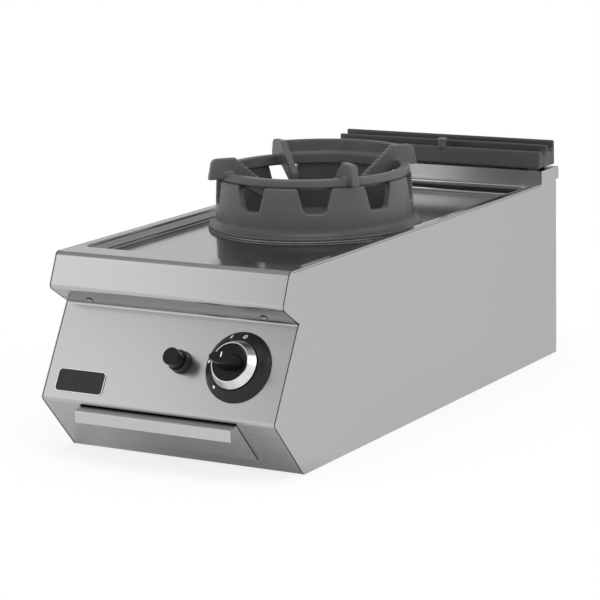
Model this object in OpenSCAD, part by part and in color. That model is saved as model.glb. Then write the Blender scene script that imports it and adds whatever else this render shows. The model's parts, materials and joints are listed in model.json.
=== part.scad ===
// Gas wok range: a counter-top module of a modular cooking line.
// One large burner stands under a two-piece cast iron wok ring, in a pressed hob
// whose front folds down over a sloping control panel; a flue with a cast grate
// runs along the rear, and a drip tray pulls out of the lower front slope.
// The origin is on the floor under the burner: x to the right, y to the rear, z up.

/* [Body] */
// Width of the module over its side panels
body_w = 400; // [390:1:460]
// Depth of the casing, from the lower front bend to its rear edge
body_d = 930; // [900:5:1000]
// Height of the hob's flat rim
hob_h = 297; // [290:1:330]
// Thickness of the side panels
side_t = 2; // [1.5:0.1:2.5]
// Thickness of the hob, front, base and rear sheets
sheet_t = 1.5; // [1.2:0.1:2]
// Gap between the side panels and the sheets that fit between them
seam = 0.6; // [0.3:0.1:0.9]

/* [Front profile] */
// How far the hob's front edge lies behind the lower front bend
brow_back = 52; // [46:1:58]
// How far the nose lies behind the lower front bend
nose_back = 30.5; // [26:0.5:36]
// How far the nose's lower edge lies below the hob's rim
nose_drop = 50; // [43:1:57]
// How far the top of the control panel lies behind the lower front bend
recess_back = 73; // [66:1:80]
// How far the top of the control panel lies below the hob's rim
recess_drop = 78; // [71:1:85]
// Height of the lower front bend
bend_h = 88; // [84:1:92]
// How far the toe of the casing lies behind the lower front bend
toe_back = 76.5; // [70:0.5:84]
// Bend radius at the hob's front edge
brow_r = 9; // [5:0.5:12]
// Bend radius at the nose's lower edge
nose_r = 8; // [5:0.5:10]
// Bend radius of the lower front bend
bend_r = 7; // [4:0.5:8]

/* [Hob basin] */
// Width of the flat rim in front of the basin
rim_front = 50; // [40:1:60]
// Width of the flat rim beside the basin, from the outside of the side panel
rim_side = 16; // [12:0.5:18]
// Width of the flat rim behind the basin
rim_rear = 20.5; // [15:0.5:26]
// Depth of the basin
basin_depth = 14; // [10:0.5:18]
// How far the side and front walls of the basin lean in
wall_lean = 8; // [4:0.5:9]
// How far the rear wall of the basin leans in
rear_lean = 22; // [12:1:30]
// Corner radius of the basin
basin_r = 12; // [8:0.5:16]
// Bend radius along the top and the foot of the basin's walls
basin_edge_r = 3.5; // [2.5:0.5:5]
// How far the burner hole lies inside the ring's inner wall
hole_in = 31; // [26:1:36]
// Height of the collar round the burner hole
collar_h = 5; // [3:0.5:8]

/* [Rear] */
// Depth of the flue riser
riser_d = 56; // [52:1:62]
// Height of the flue riser above the hob
riser_h = 22; // [16:1:30]
// How far the stops behind the riser stand out
stop_proj = 11; // [6:0.5:16]
// Height of the stops
stop_h = 21; // [14:0.5:24]
// Width of the stops
stop_w = 14; // [10:0.5:20]

/* [Wok ring base] */
// Gap between the ring's foot and the foot of the basin's side walls
foot_gap = 9.5; // [7:0.5:13]
// Height of the foot's vertical edge
foot_h = 6; // [4:0.5:8]
// How far the ring's skirt lies inside the edge of its foot
skirt_in = 11.5; // [9.5:0.5:12.5]
// How far the ring's seat lies inside the edge of its foot
seat_in = 14; // [13:0.5:15.5]
// Height of the ring from the basin floor to its seat
ring_h = 80.5; // [74:0.5:88]
// Wall thickness of the ring
ring_wall = 12; // [10:0.5:14]
// Number of notches round the ring
notch_count = 9; // [7:1:10]
// Width of a notch at its floor
notch_floor_w = 32; // [28:0.5:38]
// Width of a notch at its mouth
notch_mouth_w = 53; // [44:0.5:56]
// Height of a notch's floor above the basin floor
notch_floor_h = 41; // [36:0.5:48]
// Turn of the ring base as it lies in the basin
ring_turn = 30.4; // [0:0.1:39]

/* [Wok ring top] */
// Height of the top ring's band
band_h = 12.5; // [10:0.5:16]
// How far the band lies inside the edge of the ring's foot
band_in = 16.5; // [16:0.5:19]
// Width of the band, from its outside to its inside
band_w = 12; // [10:0.5:13]
// Height of the lugs above the seat
lug_h = 35; // [30:0.5:40]
// Thickness of a lug
lug_t = 11; // [8:0.5:13]
// How far a lug's lower corner stands out past the band
lug_toe_out = 24; // [18:0.5:28]
// How far a lug's top corner stands out past the band
lug_brow_out = 17.5; // [13:0.5:22]
// How far a lug's flat top reaches in from the band's outside
lug_top_in = 16.5; // [10:0.5:22]
// How far a lug's tip reaches in from the band's outside
lug_tip_in = 70; // [62:0.5:71]
// How far the slope's lower end lies below the seat
lug_sink = 11.8; // [8:0.1:16]
// Height of a lug's blunt tip
lug_tip_h = 23.7; // [16:0.1:26]
// Number of steps on a lug's slope
lug_steps = 9; // [5:1:12]
// Thickness of the rear guard
guard_t = 7; // [5:0.5:8]
// Turn of the top ring as it lies on the base
top_turn = 6.5; // [-20:0.5:20]

/* [Flue grate] */
// Height of the front blade
grate_front_h = 28; // [24:0.5:32]
// Height of the middle blade
grate_mid_h = 36; // [32:0.5:40]
// Height of the rear blade
grate_rear_h = 41; // [37:0.5:45]
// Thickness of the front blade at its root
front_blade_t = 10; // [8:0.5:11]
// Thickness of the middle and rear blades at their roots
blade_t = 7; // [5:0.5:9]
// How far the grate overhangs the front of the riser
grate_over = 7; // [2:0.5:9]
// How far the grate's front leans back over its height
grate_lean = 4; // [2:0.5:5]
// Height of the pads under the grate
grate_pad_h = 4.5; // [3:0.5:6]
// Radius of the lifting stud
stud_r = 6.8; // [5:0.1:7.5]
// Height of the lifting stud above the front blade
stud_h = 14; // [10:0.5:18]

/* [Burner] */
// Gap between the burner body and the edge of the hob's hole
burner_gap = 20; // [14:1:26]
// How far the flame crown lies inside the burner body's outside
crown_in = 14; // [13:1:20]
// Height of the flame crown
crown_h = 26; // [20:1:32]
// Number of flame ports
port_count = 36; // [24:2:40]
// How far the burner cap lies inside the flame crown
cap_in = 6; // [5:0.5:9]
// Outer radius of the mixing tube
tube_r = 18; // [15:0.5:20]
// Distance of the injector's bracket from the lower front bend
jet_front = 165; // [150:1:190]
// How far the seat that carries the burner lies below the hob's rim
burner_drop = 71; // [65:1:82]

/* [Knob] */
// Distance of the knob from the right side of the module
knob_side = 81; // [74:1:90]
// Distance of the knob up the control panel from the lower bend
knob_s = 78; // [70:1:86]
// Radius of the bezel
bezel_r = 52.5; // [48:0.5:56]
// Height of the bezel
bezel_h = 14; // [11:0.5:16]
// Outer radius of the trim ring
trim_r = 36.5; // [34:0.5:38]
// Radius of the knob's round face
face_r = 28; // [26:0.5:30]
// Height of the knob's round face above the panel
face_h = 27; // [25:0.5:30]
// Height of the grip's end above the panel
grip_h = 53; // [46:0.5:58]
// Width of the grip at its end
grip_w = 41; // [34:0.5:44]
// Thickness of the grip at its end
grip_t = 17; // [14:0.5:24]
// Width of the grip at its root
root_w = 45; // [38:0.5:48]
// Thickness of the grip at its root
root_t = 26; // [20:0.5:30]
// Radius of the valve's spindle inside the knob
spindle_r = 4; // [3:0.1:5]
// How far the knob pushes in
knob_push = 4; // [3:0.5:5]

/* [Igniter] */
// Distance of the igniter button from the knob
igniter_gap = 95; // [87:1:103]
// Distance of the igniter button up the control panel from the lower bend
igniter_s = 76; // [68:1:84]
// Radius of the button
button_r = 13; // [11:0.5:14]
// Height of the button above the panel
button_h = 33; // [28:0.5:36]
// Radius of the nut round the button
nut_r = 16; // [15.5:0.5:18]
// Height of the nut
nut_h = 13; // [10:0.5:15]
// How far the button pushes in
button_push = 5; // [3:0.5:6]

/* [Drip tray] */
// Distance of the tray's front from the sides of the module
tray_side = 67; // [63:1:80]
// Length of the tray's pan behind the lower front bend
tray_l = 610; // [560:5:640]
// Top of the tray's opening, measured down the slope from the bend
slot_top_s = 5; // [5:0.5:8]
// Bottom of the tray's front, measured down the slope from the bend
tray_low_s = 91.7; // [86:0.1:93]
// How far the tray's front stands out of the slope
tray_proud = 6; // [4:0.5:8]
// Height of the pan's rim
pan_rim_h = 66; // [56:1:70]
// Height of the pan's floor
pan_floor_h = 20; // [20:0.1:26]
// How far the lip stands in front of the lower bend
lip_out = 10.5; // [6:0.5:16]
// Height of the lip's face
lip_h = 18.5; // [14:0.5:22]
// How far the lip's top lies below the lower bend
lip_drop = 9.5; // [8:0.5:12]

/* [Mounting] */
// Distance of the holes in the base from the sides of the module
bolt_side = 40; // [36:1:46]
// Distance of the holes in the base from the ends of the base sheet
bolt_end = 59.15; // [50:0.05:80]
// Radius of the holes in the base
bolt_r = 4.5; // [3:0.1:5.5]
// Radius of the gas inlet's thread
inlet_r = 10.5; // [8:0.1:12]
// Height of the gas inlet above the floor
inlet_h = 60; // [50:1:80]
// Distance of the gas inlet from the right side of the module
inlet_side = 50; // [44:1:60]

/* [Hidden] */
$fn = 96;

// Overrun of a cut beyond the face that it opens
over = 1;
// Radial clearance of a shaft that turns or slides in its bore
run_fit = 0.05;
// Radial clearance of a loose spigot in its seat
loose_fit = 0.4;
// Gap under a piece that lies loose on another
rest_gap = 0.1;
// Gap under a piece that slides on a runner
slide_gap = 0.3;
// Steps along each sheet bend
bend_steps = 8;
basin_steps = 5;
// Facets round a pipe, and its elbows' thickness, radius and hold, as shares of its radius
pipe_sides = 24;
elbow_share = 1.04;
elbow_radius_share = 3;
elbow_hold_share = 0.25;
// Width of the small flanges along the edges of the sheets
flange_w = 12;

// Heights that hang from the hob's rim
nose_h = hob_h - nose_drop;
recess_h = hob_h - recess_drop;
burner_seat_h = hob_h - burner_drop;

// Widths and places that follow the module's sides
tray_w = body_w - 2 * tray_side;
knob_x = body_w / 2 - knob_side;
igniter_x = knob_x - igniter_gap;
inlet_x = body_w / 2 - inlet_side;

// Places along the depth of the module
front_y = -body_d / 2;
back_y = body_d / 2;
riser_y = back_y - riser_d;

// Widths between the side panels
inner_w = body_w - 2 * side_t;
sheet_w = inner_w - 2 * seam;

// Corners of the casing's side outline, as depth and height
toe = [front_y + toe_back, 0];
bend = [front_y, bend_h];
recess = [front_y + recess_back, recess_h];
nose = [front_y + nose_back, nose_h];
brow = [front_y + brow_back, hob_h];
riser_top = hob_h + riser_h;

// Directions along the control panel, up it and out of it
panel_up = unit(recess - bend);
panel_out = [-panel_up.y, panel_up.x];
panel_tilt = atan2(-panel_out.x, panel_out.y);

// Directions along the lower slope, down it and out of it
slope_down = unit(toe - bend);
slope_out = [slope_down.y, -slope_down.x];

// Basin
basin_front = brow.x + rim_front;
basin_back = riser_y - rim_rear;
basin_half = body_w / 2 - rim_side;
basin_floor = hob_h - basin_depth;

// Flue
flue_wall = 4.5;
flue_half = sheet_w / 2 - 26;
duct_low = 150;

// Radii of the wok ring and the burner, from the basin's walls inwards
foot_r = basin_half - wall_lean - foot_gap;
skirt_r = foot_r - skirt_in;
seat_r = foot_r - seat_in;
band_r = foot_r - band_in;
ring_in_r = skirt_r - ring_wall;
hob_hole_r = ring_in_r - hole_in;
burner_r = hob_hole_r - burner_gap;
crown_r = burner_r - crown_in;
cap_r = crown_r - cap_in;

// Ring seat
seat_z = basin_floor + ring_h;

// Colours
steel = "#b4b6b6";
dark_steel = "#8f9192";
iron = "#565859";
grate_iron = "#444446";
black = "#2b2b2d";
bright = "#d8d8d8";
brass = "#b59a54";
galvanised = "#9a9ca0";
copper = "#b07850";
ceramic = "#e8e4dc";

// Vector helpers
function unit(v) = v / norm(v);
function left_of(v) = [-v.y, v.x];
function reversed(v) = [for (i = [len(v) - 1 : -1 : 0]) v[i]];
function turned(v, q) = [v.x * cos(q) - v.y * sin(q), v.x * sin(q) + v.y * cos(q)];

// Points of a round bend of radius r at corner b, coming from a and going on to c
function bend_points(a, b, c, r) =
    r == 0 ? [b] :
    let (
        u = unit(a - b),
        w = unit(c - b),
        half = acos(u * w) / 2,
        centre = b + unit(u + w) * r / sin(half),
        from = b + u * r / tan(half) - centre,
        turn = sign(cross(b - a, c - b)) * (180 - 2 * half)
    )
    [for (i = [0 : bend_steps]) centre + turned(from, turn * i / bend_steps)];

// One face of a bent sheet: corners p with a bend radius each
function sheet_face(p, r) = [
    for (i = [0 : len(p) - 1])
        each (i == 0 || i == len(p) - 1 ? [p[i]] : bend_points(p[i - 1], p[i], p[i + 1], r[i]))
];

// The same face moved by t to its left
function shifted(p, t) = [
    for (i = [0 : len(p) - 1])
        let (
            last = len(p) - 1,
            a = left_of(unit(p[max(i, 1)] - p[max(i, 1) - 1])),
            b = left_of(unit(p[min(i + 1, last)] - p[min(i + 1, last) - 1])),
            m = unit(a + b)
        )
        p[i] + m * t / (m * a)
];

// Closed outline of a bent sheet of thickness t
function sheet_outline(p, r, t) =
    let (face = sheet_face(p, r))
    concat(face, reversed(shifted(face, t)));

// Extrudes an outline given as depth and height across the module, about its middle
module across(width) {
    rotate([90, 0, 90])
        linear_extrude(width, center = true)
            children();
}

// Puts children on the control panel: x across, y up the panel, z out of it
module on_panel(x, s) {
    translate([x, bend.x + panel_up.x * s, bend.y + panel_up.y * s])
        rotate([panel_tilt, 0, 0])
            children();
}

// A point on the control panel, at depth d behind its face
function panel_point(x, s, d) = let (p = bend + panel_up * s - panel_out * d) [x, p.x, p.y];

// A straight round rod between two points
module rod(a, b, r) {
    d = b - a;
    translate(a)
        rotate([0, acos(d.z / norm(d)), atan2(d.y, d.x)])
            cylinder(h = norm(d), r = r);
}

// Distance from a corner to where an elbow of radius q round it begins
function setback(a, b, c, q) = q * tan(acos(unit(b - a) * unit(c - b)) / 2);

// An elbow of a pipe round corner b, coming from a and going on to c
module elbow(a, b, c, r, q) {
    u = unit(b - a);
    w = unit(c - b);
    turn = acos(u * w);
    n = unit(cross(u, w));
    x = cross(u, n);
    o = b - u * q * tan(turn / 2) - x * q;
    multmatrix([
        [x.x, u.x, n.x, o.x],
        [x.y, u.y, n.y, o.y],
        [x.z, u.z, n.z, o.z],
        [0, 0, 0, 1]
    ])
        rotate_extrude(angle = turn)
            translate([q, 0])
                circle(r = r * elbow_share, $fn = pipe_sides);
}

// A round pipe or lead along a route, with elbows a little thicker than the straights
module pipe(route, r) {
    q = r * elbow_radius_share;
    last = len(route) - 1;
    for (i = [1 : last]) {
        u = unit(route[i] - route[i - 1]);
        s = i == 1 ? 0 : setback(route[i - 2], route[i - 1], route[i], q) - r * elbow_hold_share;
        e = i == last ? 0 : setback(route[i - 1], route[i], route[i + 1], q) - r * elbow_hold_share;
        rod(route[i - 1] + u * s, route[i] - u * e, r, $fn = pipe_sides);
    }
    for (i = [1 : 1 : last - 1])
        elbow(route[i - 1], route[i], route[i + 1], r, q);
}

// A block between two corners
module block(low, high) {
    translate(low)
        cube(high - low);
}

// A slab with round corners, from its middle
module slab(w, d, h, r) {
    linear_extrude(h)
        rounded(w, d, r);
}

// A rectangle with round corners, from its middle
module rounded(w, d, r) {
    square([w - 2 * r, d], center = true);
    square([w, d - 2 * r], center = true);
    for (x = [-1, 1], y = [-1, 1])
        translate([x * (w / 2 - r), y * (d / 2 - r)])
            circle(r = r);
}

// Casing
side_profile = [
    toe, bend, recess, nose, brow,
    [riser_y, hob_h], [riser_y, riser_top], [back_y, riser_top], [back_y, 0]
];
rear_return = 18;

module side_panel(side) {
    color(steel)
        difference() {
            union() {
                translate([side * (body_w - side_t) / 2, 0, 0])
                    across(side_t)
                        polygon(side_profile);
                block(
                    [side > 0 ? inner_w / 2 - rear_return : -inner_w / 2, back_y - side_t, 0],
                    [side > 0 ? inner_w / 2 : rear_return - inner_w / 2, back_y, riser_top]
                );
            }
            on_rear_screws()
                translate([0, 0, -sheet_t - side_t - over])
                    cylinder(h = sheet_t + side_t + 2 * over, r = screw_r);
        }
}

module side_panel_left() {
    side_panel(-1);
}

module side_panel_right() {
    side_panel(1);
}

hob_back = back_y - side_t - seam;
hob_face = [[hob_back, hob_h], brow, nose, recess, recess + [flange_w, 0]];
hob_bends = [0, brow_r, nose_r, 2 * sheet_t, 0];

// Levels down the basin's wall, round its upper and lower edges: growth, share of the lean, height
basin_levels = concat(
    [
        for (i = [0 : basin_steps])
            let (q = 90 * i / basin_steps)
            [basin_edge_r * (1 - sin(q)), 0, hob_h - basin_edge_r * (1 - cos(q))]
    ],
    [
        for (i = [0 : basin_steps])
            let (q = 90 * i / basin_steps)
            [-basin_edge_r * (1 - cos(q)), 1, basin_floor + basin_edge_r * (1 - sin(q))]
    ]
);

// Points round the basin at one level, grown by g all round
function basin_ring(level, g) =
    let (
        w = basin_half + level[0] + g - level[1] * wall_lean,
        f = basin_front - level[0] - g + level[1] * wall_lean,
        b = basin_back + level[0] + g - level[1] * rear_lean,
        r = basin_r + level[0] + g
    )
    [
        for (c = [[w - r, b - r, 0], [r - w, b - r, 90], [r - w, f + r, 180], [w - r, f + r, 270]])
            for (i = [0 : basin_steps])
                let (q = c[2] + 90 * i / basin_steps)
                [c[0] + r * cos(q), c[1] + r * sin(q), level[2]]
    ];

// A solid lofted through rings of points, from the lowest ring to the highest
module loft(rings) {
    n = len(rings[0]);
    last = len(rings) - 1;
    polyhedron(
        points = [for (ring = rings) each ring],
        faces = concat(
            [[for (i = [n - 1 : -1 : 0]) last * n + i]],
            [[for (i = [0 : n - 1]) i]],
            [
                for (k = [1 : last], i = [0 : n - 1])
                    [(k - 1) * n + i, k * n + i, k * n + (i + 1) % n, (k - 1) * n + (i + 1) % n]
            ]
        )
    );
}

// The basin as a solid, grown by g, dropped by drop and carried up to the height top
module basin_solid(g, drop, top) {
    rings = [for (level = basin_levels) basin_ring(level - [0, 0, drop], g)];
    low = [for (i = [len(rings) - 1 : -1 : 0]) rings[i]];
    loft(concat(low, [[for (p = rings[0]) [p.x, p.y, top]]]));
}

module flue_opening(low, high) {
    block(
        [-flue_half, riser_y + flue_wall, low],
        [flue_half, back_y - side_t - flue_wall, high]
    );
}

module hob_top() {
    color(steel)
        difference() {
            union() {
                across(sheet_w)
                    polygon(sheet_outline(hob_face, hob_bends, sheet_t));
                basin_solid(sheet_t, sheet_t, hob_h - sheet_t / 2);
                translate([0, 0, basin_floor - sheet_t])
                    cylinder(h = sheet_t + collar_h, r = hob_hole_r + sheet_t);
            }
            difference() {
                basin_solid(0, 0, hob_h + over);
                translate([0, 0, basin_floor - over])
                    cylinder(h = over + collar_h, r = hob_hole_r + sheet_t);
            }
            translate([0, 0, basin_floor - sheet_t - over])
                cylinder(h = basin_depth, r = hob_hole_r);
            flue_opening(hob_h - sheet_t - over, hob_h + over);
            on_bevel_screws()
                translate([0, 0, -sheet_t - over])
                    cylinder(h = sheet_t + 2 * over, r = screw_r);
        }
}

// Screws
screw_r = 2.5;
screw_head_r = 4.5;
screw_head_h = 1.6;
screw_l = 10;
bevel_screw_side = 51;
bevel_screw_x = body_w / 2 - bevel_screw_side;
bevel_screw_share = 0.27;
bevel_out = -left_of(unit(recess - nose));
bevel_tilt = atan2(-bevel_out.x, bevel_out.y);

module on_bevel_screws() {
    p = nose + (recess - nose) * (1 - bevel_screw_share);
    for (side = [-1, 1])
        translate([side * bevel_screw_x, p.x, p.y])
            rotate([bevel_tilt, 0, 0])
                children();
}

// A pan head screw whose head stands on z = 0
module pan_screw() {
    cylinder(h = screw_head_h / 2, r = screw_head_r);
    translate([0, 0, screw_head_h / 2])
        cylinder(h = screw_head_h / 2, r1 = screw_head_r, r2 = screw_head_r - screw_head_h / 2);
    translate([0, 0, -screw_l])
        cylinder(h = screw_l, r = screw_r - run_fit);
}

module bevel_screws() {
    color(bright)
        on_bevel_screws()
            pan_screw();
}

// Control panel and lower front
panel_top = recess + (bend - recess) * seam / (recess_h - bend_h);
panel_face = [panel_top + [flange_w, 0], panel_top, bend, toe, toe + [flange_w, 0]];
panel_bends = [0, 2 * sheet_t, bend_r, 2 * sheet_t, 0];
spindle_hole_r = 6.5;
igniter_hole_r = 11.5;
tray_gap = 1;

// A point on the lower slope, s down it and t out of it
function slope_point(s, t) = bend + slope_down * s + slope_out * t;

module tray_cut() {
    across(tray_w + 2 * tray_gap)
        polygon([
            slope_point(slot_top_s, over),
            slope_point(tray_low_s + tray_gap, over),
            slope_point(tray_low_s + tray_gap, -sheet_t - over),
            slope_point(slot_top_s, -sheet_t - over)
        ]);
}

module control_panel() {
    color(steel)
        difference() {
            across(sheet_w)
                polygon(sheet_outline(panel_face, panel_bends, sheet_t));
            tray_cut();
            on_panel(knob_x, knob_s)
                translate([0, 0, -sheet_t - over])
                    cylinder(h = sheet_t + 2 * over, r = spindle_hole_r);
            on_panel(igniter_x, igniter_s)
                translate([0, 0, -sheet_t - over])
                    cylinder(h = sheet_t + 2 * over, r = igniter_hole_r);
        }
}

// Base
base_front = toe.x + flange_w + seam;
base_back = back_y - side_t - seam;
base_flange = 24;

module base_pan() {
    color(galvanised)
        difference() {
            union() {
                block([-sheet_w / 2, base_front, 0], [sheet_w / 2, base_back, sheet_t]);
                for (side = [-1, 1])
                    translate([side * (sheet_w - sheet_t) / 2, 0, 0])
                        block(
                            [-sheet_t / 2, base_front, 0],
                            [sheet_t / 2, base_back, base_flange]
                        );
            }
            for (x = [-1, 1], y = [base_front + bolt_end, base_back - bolt_end])
                translate([x * (body_w / 2 - bolt_side), y, -over])
                    cylinder(h = sheet_t + 2 * over, r = bolt_r);
        }
}

// Rear
rear_low = 12;
rear_high = hob_h - 4;
rear_hem = 10;
rear_side = 1;
inlet_hole_r = 24;
rear_screw_inset = 14.5;
vent_rows = 5;
vent_w = 120;
vent_t = 5;
vent_pitch = 14;
vent_low = hob_h - 117;

module on_rear_screws() {
    for (side = [-1, 1], z = [rear_low + base_flange, (rear_low + rear_high) / 2, rear_high - base_flange])
        translate([side * (inner_w / 2 - rear_screw_inset), back_y + sheet_t, z])
            rotate([-90, 0, 0])
                children();
}

module rear_panel() {
    half = body_w / 2 - rear_side;
    color(galvanised)
        difference() {
            union() {
                block([-half, back_y, rear_low], [half, back_y + sheet_t, rear_high]);
                for (side = [-1, 1])
                    translate([side * (half - rear_hem / 2), 0, 0])
                        block(
                            [-rear_hem / 2, back_y + sheet_t, rear_low],
                            [rear_hem / 2, back_y + 2 * sheet_t, rear_high]
                        );
            }
            translate([inlet_x, back_y - over, inlet_h])
                rotate([-90, 0, 0])
                    cylinder(h = 2 * sheet_t + 2 * over, r = inlet_hole_r);
            for (i = [0 : vent_rows - 1])
                translate([0, back_y + sheet_t / 2, vent_low + i * vent_pitch])
                    rotate([90, 0, 0])
                        translate([0, 0, -sheet_t])
                            slab(vent_w, vent_t, 2 * sheet_t, vent_t / 2 - run_fit);
            on_rear_screws()
                translate([0, 0, -sheet_t - over])
                    cylinder(h = sheet_t + side_t + 2 * over, r = screw_r);
        }
}

module rear_screws() {
    color(bright)
        on_rear_screws()
            pan_screw();
}

module rear_stops() {
    color(dark_steel)
        for (side = [-1, 1])
            translate([side * (body_w - stop_w) / 2, back_y, riser_top - stop_h / 2])
                rotate([90, 0, 90])
                    translate([stop_proj / 2, 0, -stop_w / 2])
                        slab(stop_proj, stop_h, stop_w, stop_proj / 3);
}

// Flue
riser_back = back_y - side_t - seam;

module flue_riser() {
    color(steel)
        difference() {
            block([-sheet_w / 2, riser_y, hob_h], [sheet_w / 2, riser_back, riser_top]);
            block(
                [sheet_t - sheet_w / 2, riser_y + sheet_t, hob_h - over],
                [sheet_w / 2 - sheet_t, riser_back - sheet_t, riser_top - sheet_t]
            );
            flue_opening(hob_h, riser_top + over);
        }
}

duct_window = 20;

module flue_duct() {
    outer_half = flue_half + flue_wall / 2;
    front = riser_y + flue_wall / 2;
    rear = back_y - side_t - flue_wall / 2;
    color(galvanised)
        difference() {
            block([-outer_half, front, duct_low], [outer_half, rear, hob_h - sheet_t]);
            block(
                [sheet_t - outer_half, front + sheet_t, duct_low + sheet_t],
                [outer_half - sheet_t, rear - sheet_t, hob_h]
            );
            block(
                [duct_window - outer_half, front - over, duct_low + duct_window],
                [outer_half - duct_window, front + sheet_t + over, basin_floor - duct_window]
            );
        }
}

// Flue grate
grate_inset = 2;
grate_front = riser_y - grate_over;
grate_back = back_y;
grate_low = riser_top + grate_pad_h;
grate_end_t = 9;
grate_draft = 1;
grate_half = body_w / 2 - grate_inset;
grate_ribs = 5;
grate_rib_t = 6;
grate_rib_h = 16;
blade_gap = (grate_back - grate_front - grate_lean - front_blade_t - 2 * blade_t) / 2;
front_blade_y = grate_front + grate_lean;
blade_y = [
    front_blade_y,
    front_blade_y + front_blade_t + blade_gap,
    grate_back - blade_t
];
blade_h = [grate_front_h, grate_mid_h, grate_rear_h];
blade_w = [front_blade_t, blade_t, blade_t];
blade_lean = [grate_lean, 0, 0];
scallop_drops = [7, 3];
pad_w = 10;
stud_x = 14;
stud_y = front_blade_y + front_blade_t / 2;
stud_boss_h = 9;

// Outline of one blade as depth and height, with a little draft and a broken edge
module blade_outline(i) {
    polygon([
        [blade_y[i] - blade_lean[i], grate_low],
        [blade_y[i] + blade_w[i], grate_low],
        [blade_y[i] + blade_w[i] - grate_draft, grate_low + blade_h[i] - grate_draft],
        [blade_y[i] + blade_w[i] - 2 * grate_draft, grate_low + blade_h[i]],
        [blade_y[i] + grate_draft, grate_low + blade_h[i]],
        [blade_y[i], grate_low + blade_h[i] - grate_draft]
    ]);
}

// Radius of an arc that is blade_gap wide and as deep as its scallop
function scallop_r(i) = (blade_gap * blade_gap / 4 / scallop_drops[i] + scallop_drops[i]) / 2;

// End wall of the grate, with a round scallop between each pair of blades
module grate_end() {
    top = grate_low + grate_front_h - grate_draft;
    difference() {
        polygon([
            [grate_front, grate_low],
            [grate_back, grate_low],
            [grate_back - grate_draft, top],
            [front_blade_y, top]
        ]);
        for (i = [0, 1])
            translate([blade_y[i] + blade_w[i] + blade_gap / 2, top + scallop_r(i) - scallop_drops[i]])
                circle(r = scallop_r(i));
    }
}

module flue_grate() {
    color(grate_iron) {
        for (i = [0 : 2])
            across(2 * grate_half)
                blade_outline(i);
        for (side = [-1, 1])
            translate([side * (grate_half - grate_end_t / 2), 0, 0])
                across(grate_end_t)
                    grate_end();
        translate([stud_x, stud_y, grate_low + grate_front_h - stud_boss_h])
            cylinder(h = stud_boss_h, r1 = front_blade_t / 2, r2 = stud_r + grate_draft);
        for (i = [1 : grate_ribs])
            translate([(2 * i / (grate_ribs + 1) - 1) * grate_half, 0, 0])
                block(
                    [-grate_rib_t / 2, front_blade_y, grate_low],
                    [grate_rib_t / 2, grate_back - blade_t / 2, grate_low + grate_rib_h]
                );
        for (x = [-1, 1], y = [riser_y + pad_w / 4, riser_back - pad_w / 4])
            translate([x * (flue_half + pad_w / 2), y, riser_top])
                block(
                    [-pad_w / 2, -pad_w / 4, 0],
                    [pad_w / 2, pad_w / 4, grate_pad_h + grate_draft]
                );
    }
}

stud_head_h = 3;
stud_head_r = 8.4;

module grate_stud() {
    color(iron)
        translate([stud_x, stud_y, grate_low + grate_front_h]) {
            cylinder(h = stud_h - stud_head_h, r = stud_r);
            translate([0, 0, stud_h - stud_head_h])
                cylinder(h = stud_head_h, r1 = stud_head_r, r2 = stud_head_r - stud_head_h / 2);
        }
}

// Wok ring base
flare_h = 11;
groove = 1.5;
seat_in_r = seat_r - ring_wall;
notch_angle = 360 / notch_count;
notch_corner_r = 8;
ring_edge = 2;

// Outer profile of the ring, from its foot up a concave flare to its seat
flare_points = [
    for (i = [0 : bend_steps])
        let (q = 90 * i / bend_steps)
        [
            foot_r - groove - (foot_r - groove - skirt_r) * sin(q),
            foot_h + groove + flare_h * (1 - cos(q))
        ]
];

module ring_profile() {
    polygon(concat(
        [
            [ring_in_r, 0],
            [foot_r - groove, 0],
            [foot_r, groove],
            [foot_r, foot_h],
            [foot_r - groove, foot_h],
        ],
        flare_points,
        [
            [seat_r, ring_h - ring_edge],
            [seat_r - ring_edge, ring_h],
            [seat_in_r, ring_h],
            [ring_in_r, foot_h + flare_h]
        ]
    ));
}

// A notch outline, standing on its floor: a trapezium with round lower corners
module notch_outline() {
    h = ring_h - notch_floor_h + over;
    slope = (notch_mouth_w - notch_floor_w) / 2 / (ring_h - notch_floor_h);
    half = notch_floor_w / 2;
    corners = [
        [half + slope * h, h], [half, 0], [-half, 0], [-half - slope * h, h]
    ];
    polygon(sheet_face(corners, [0, notch_corner_r, notch_corner_r, 0]));
}

module wok_ring_base() {
    color(iron)
        translate([0, 0, basin_floor])
            rotate([0, 0, ring_turn - 90])
                difference() {
                    rotate_extrude()
                        ring_profile();
                    for (i = [0 : notch_count - 1])
                        rotate([0, 0, i * notch_angle])
                            translate([0, 0, notch_floor_h])
                                rotate([90, 0, 90])
                                    linear_extrude(foot_r)
                                        notch_outline();
                }
}

// Wok ring top
lug_angle = 90;
lug_count = 4;
first_lug = 225 + top_turn;
band_in_r = band_r - band_w;
band_edge = 1.5;
lug_clear = 3;
lug_corner_r = 10;
lug_toe_r = band_r + lug_toe_out;
lug_brow_r = band_r + lug_brow_out;
lug_top_r = band_r - lug_top_in;
lug_tip_r = band_r - lug_tip_in;
lip_t = 4;
spigot_h = 5;
spigot_gap = 0.5;
guard_drop = 1;

// Serrated inner slope of a lug, from its tip up to its flat top
tread_share = 0.2;
riser_share = 0.9;
slope_steps = [
    for (i = [0 : lug_steps - 1])
        let (
            rise = (lug_h + lug_sink) / lug_steps,
            run = (lug_tip_in - lug_top_in) / lug_steps
        )
        each [
            [lug_tip_r + run * i, rise * i - lug_sink],
            [lug_tip_r + run * (i + tread_share), rise * (i + riser_share) - lug_sink]
        ]
];

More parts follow.
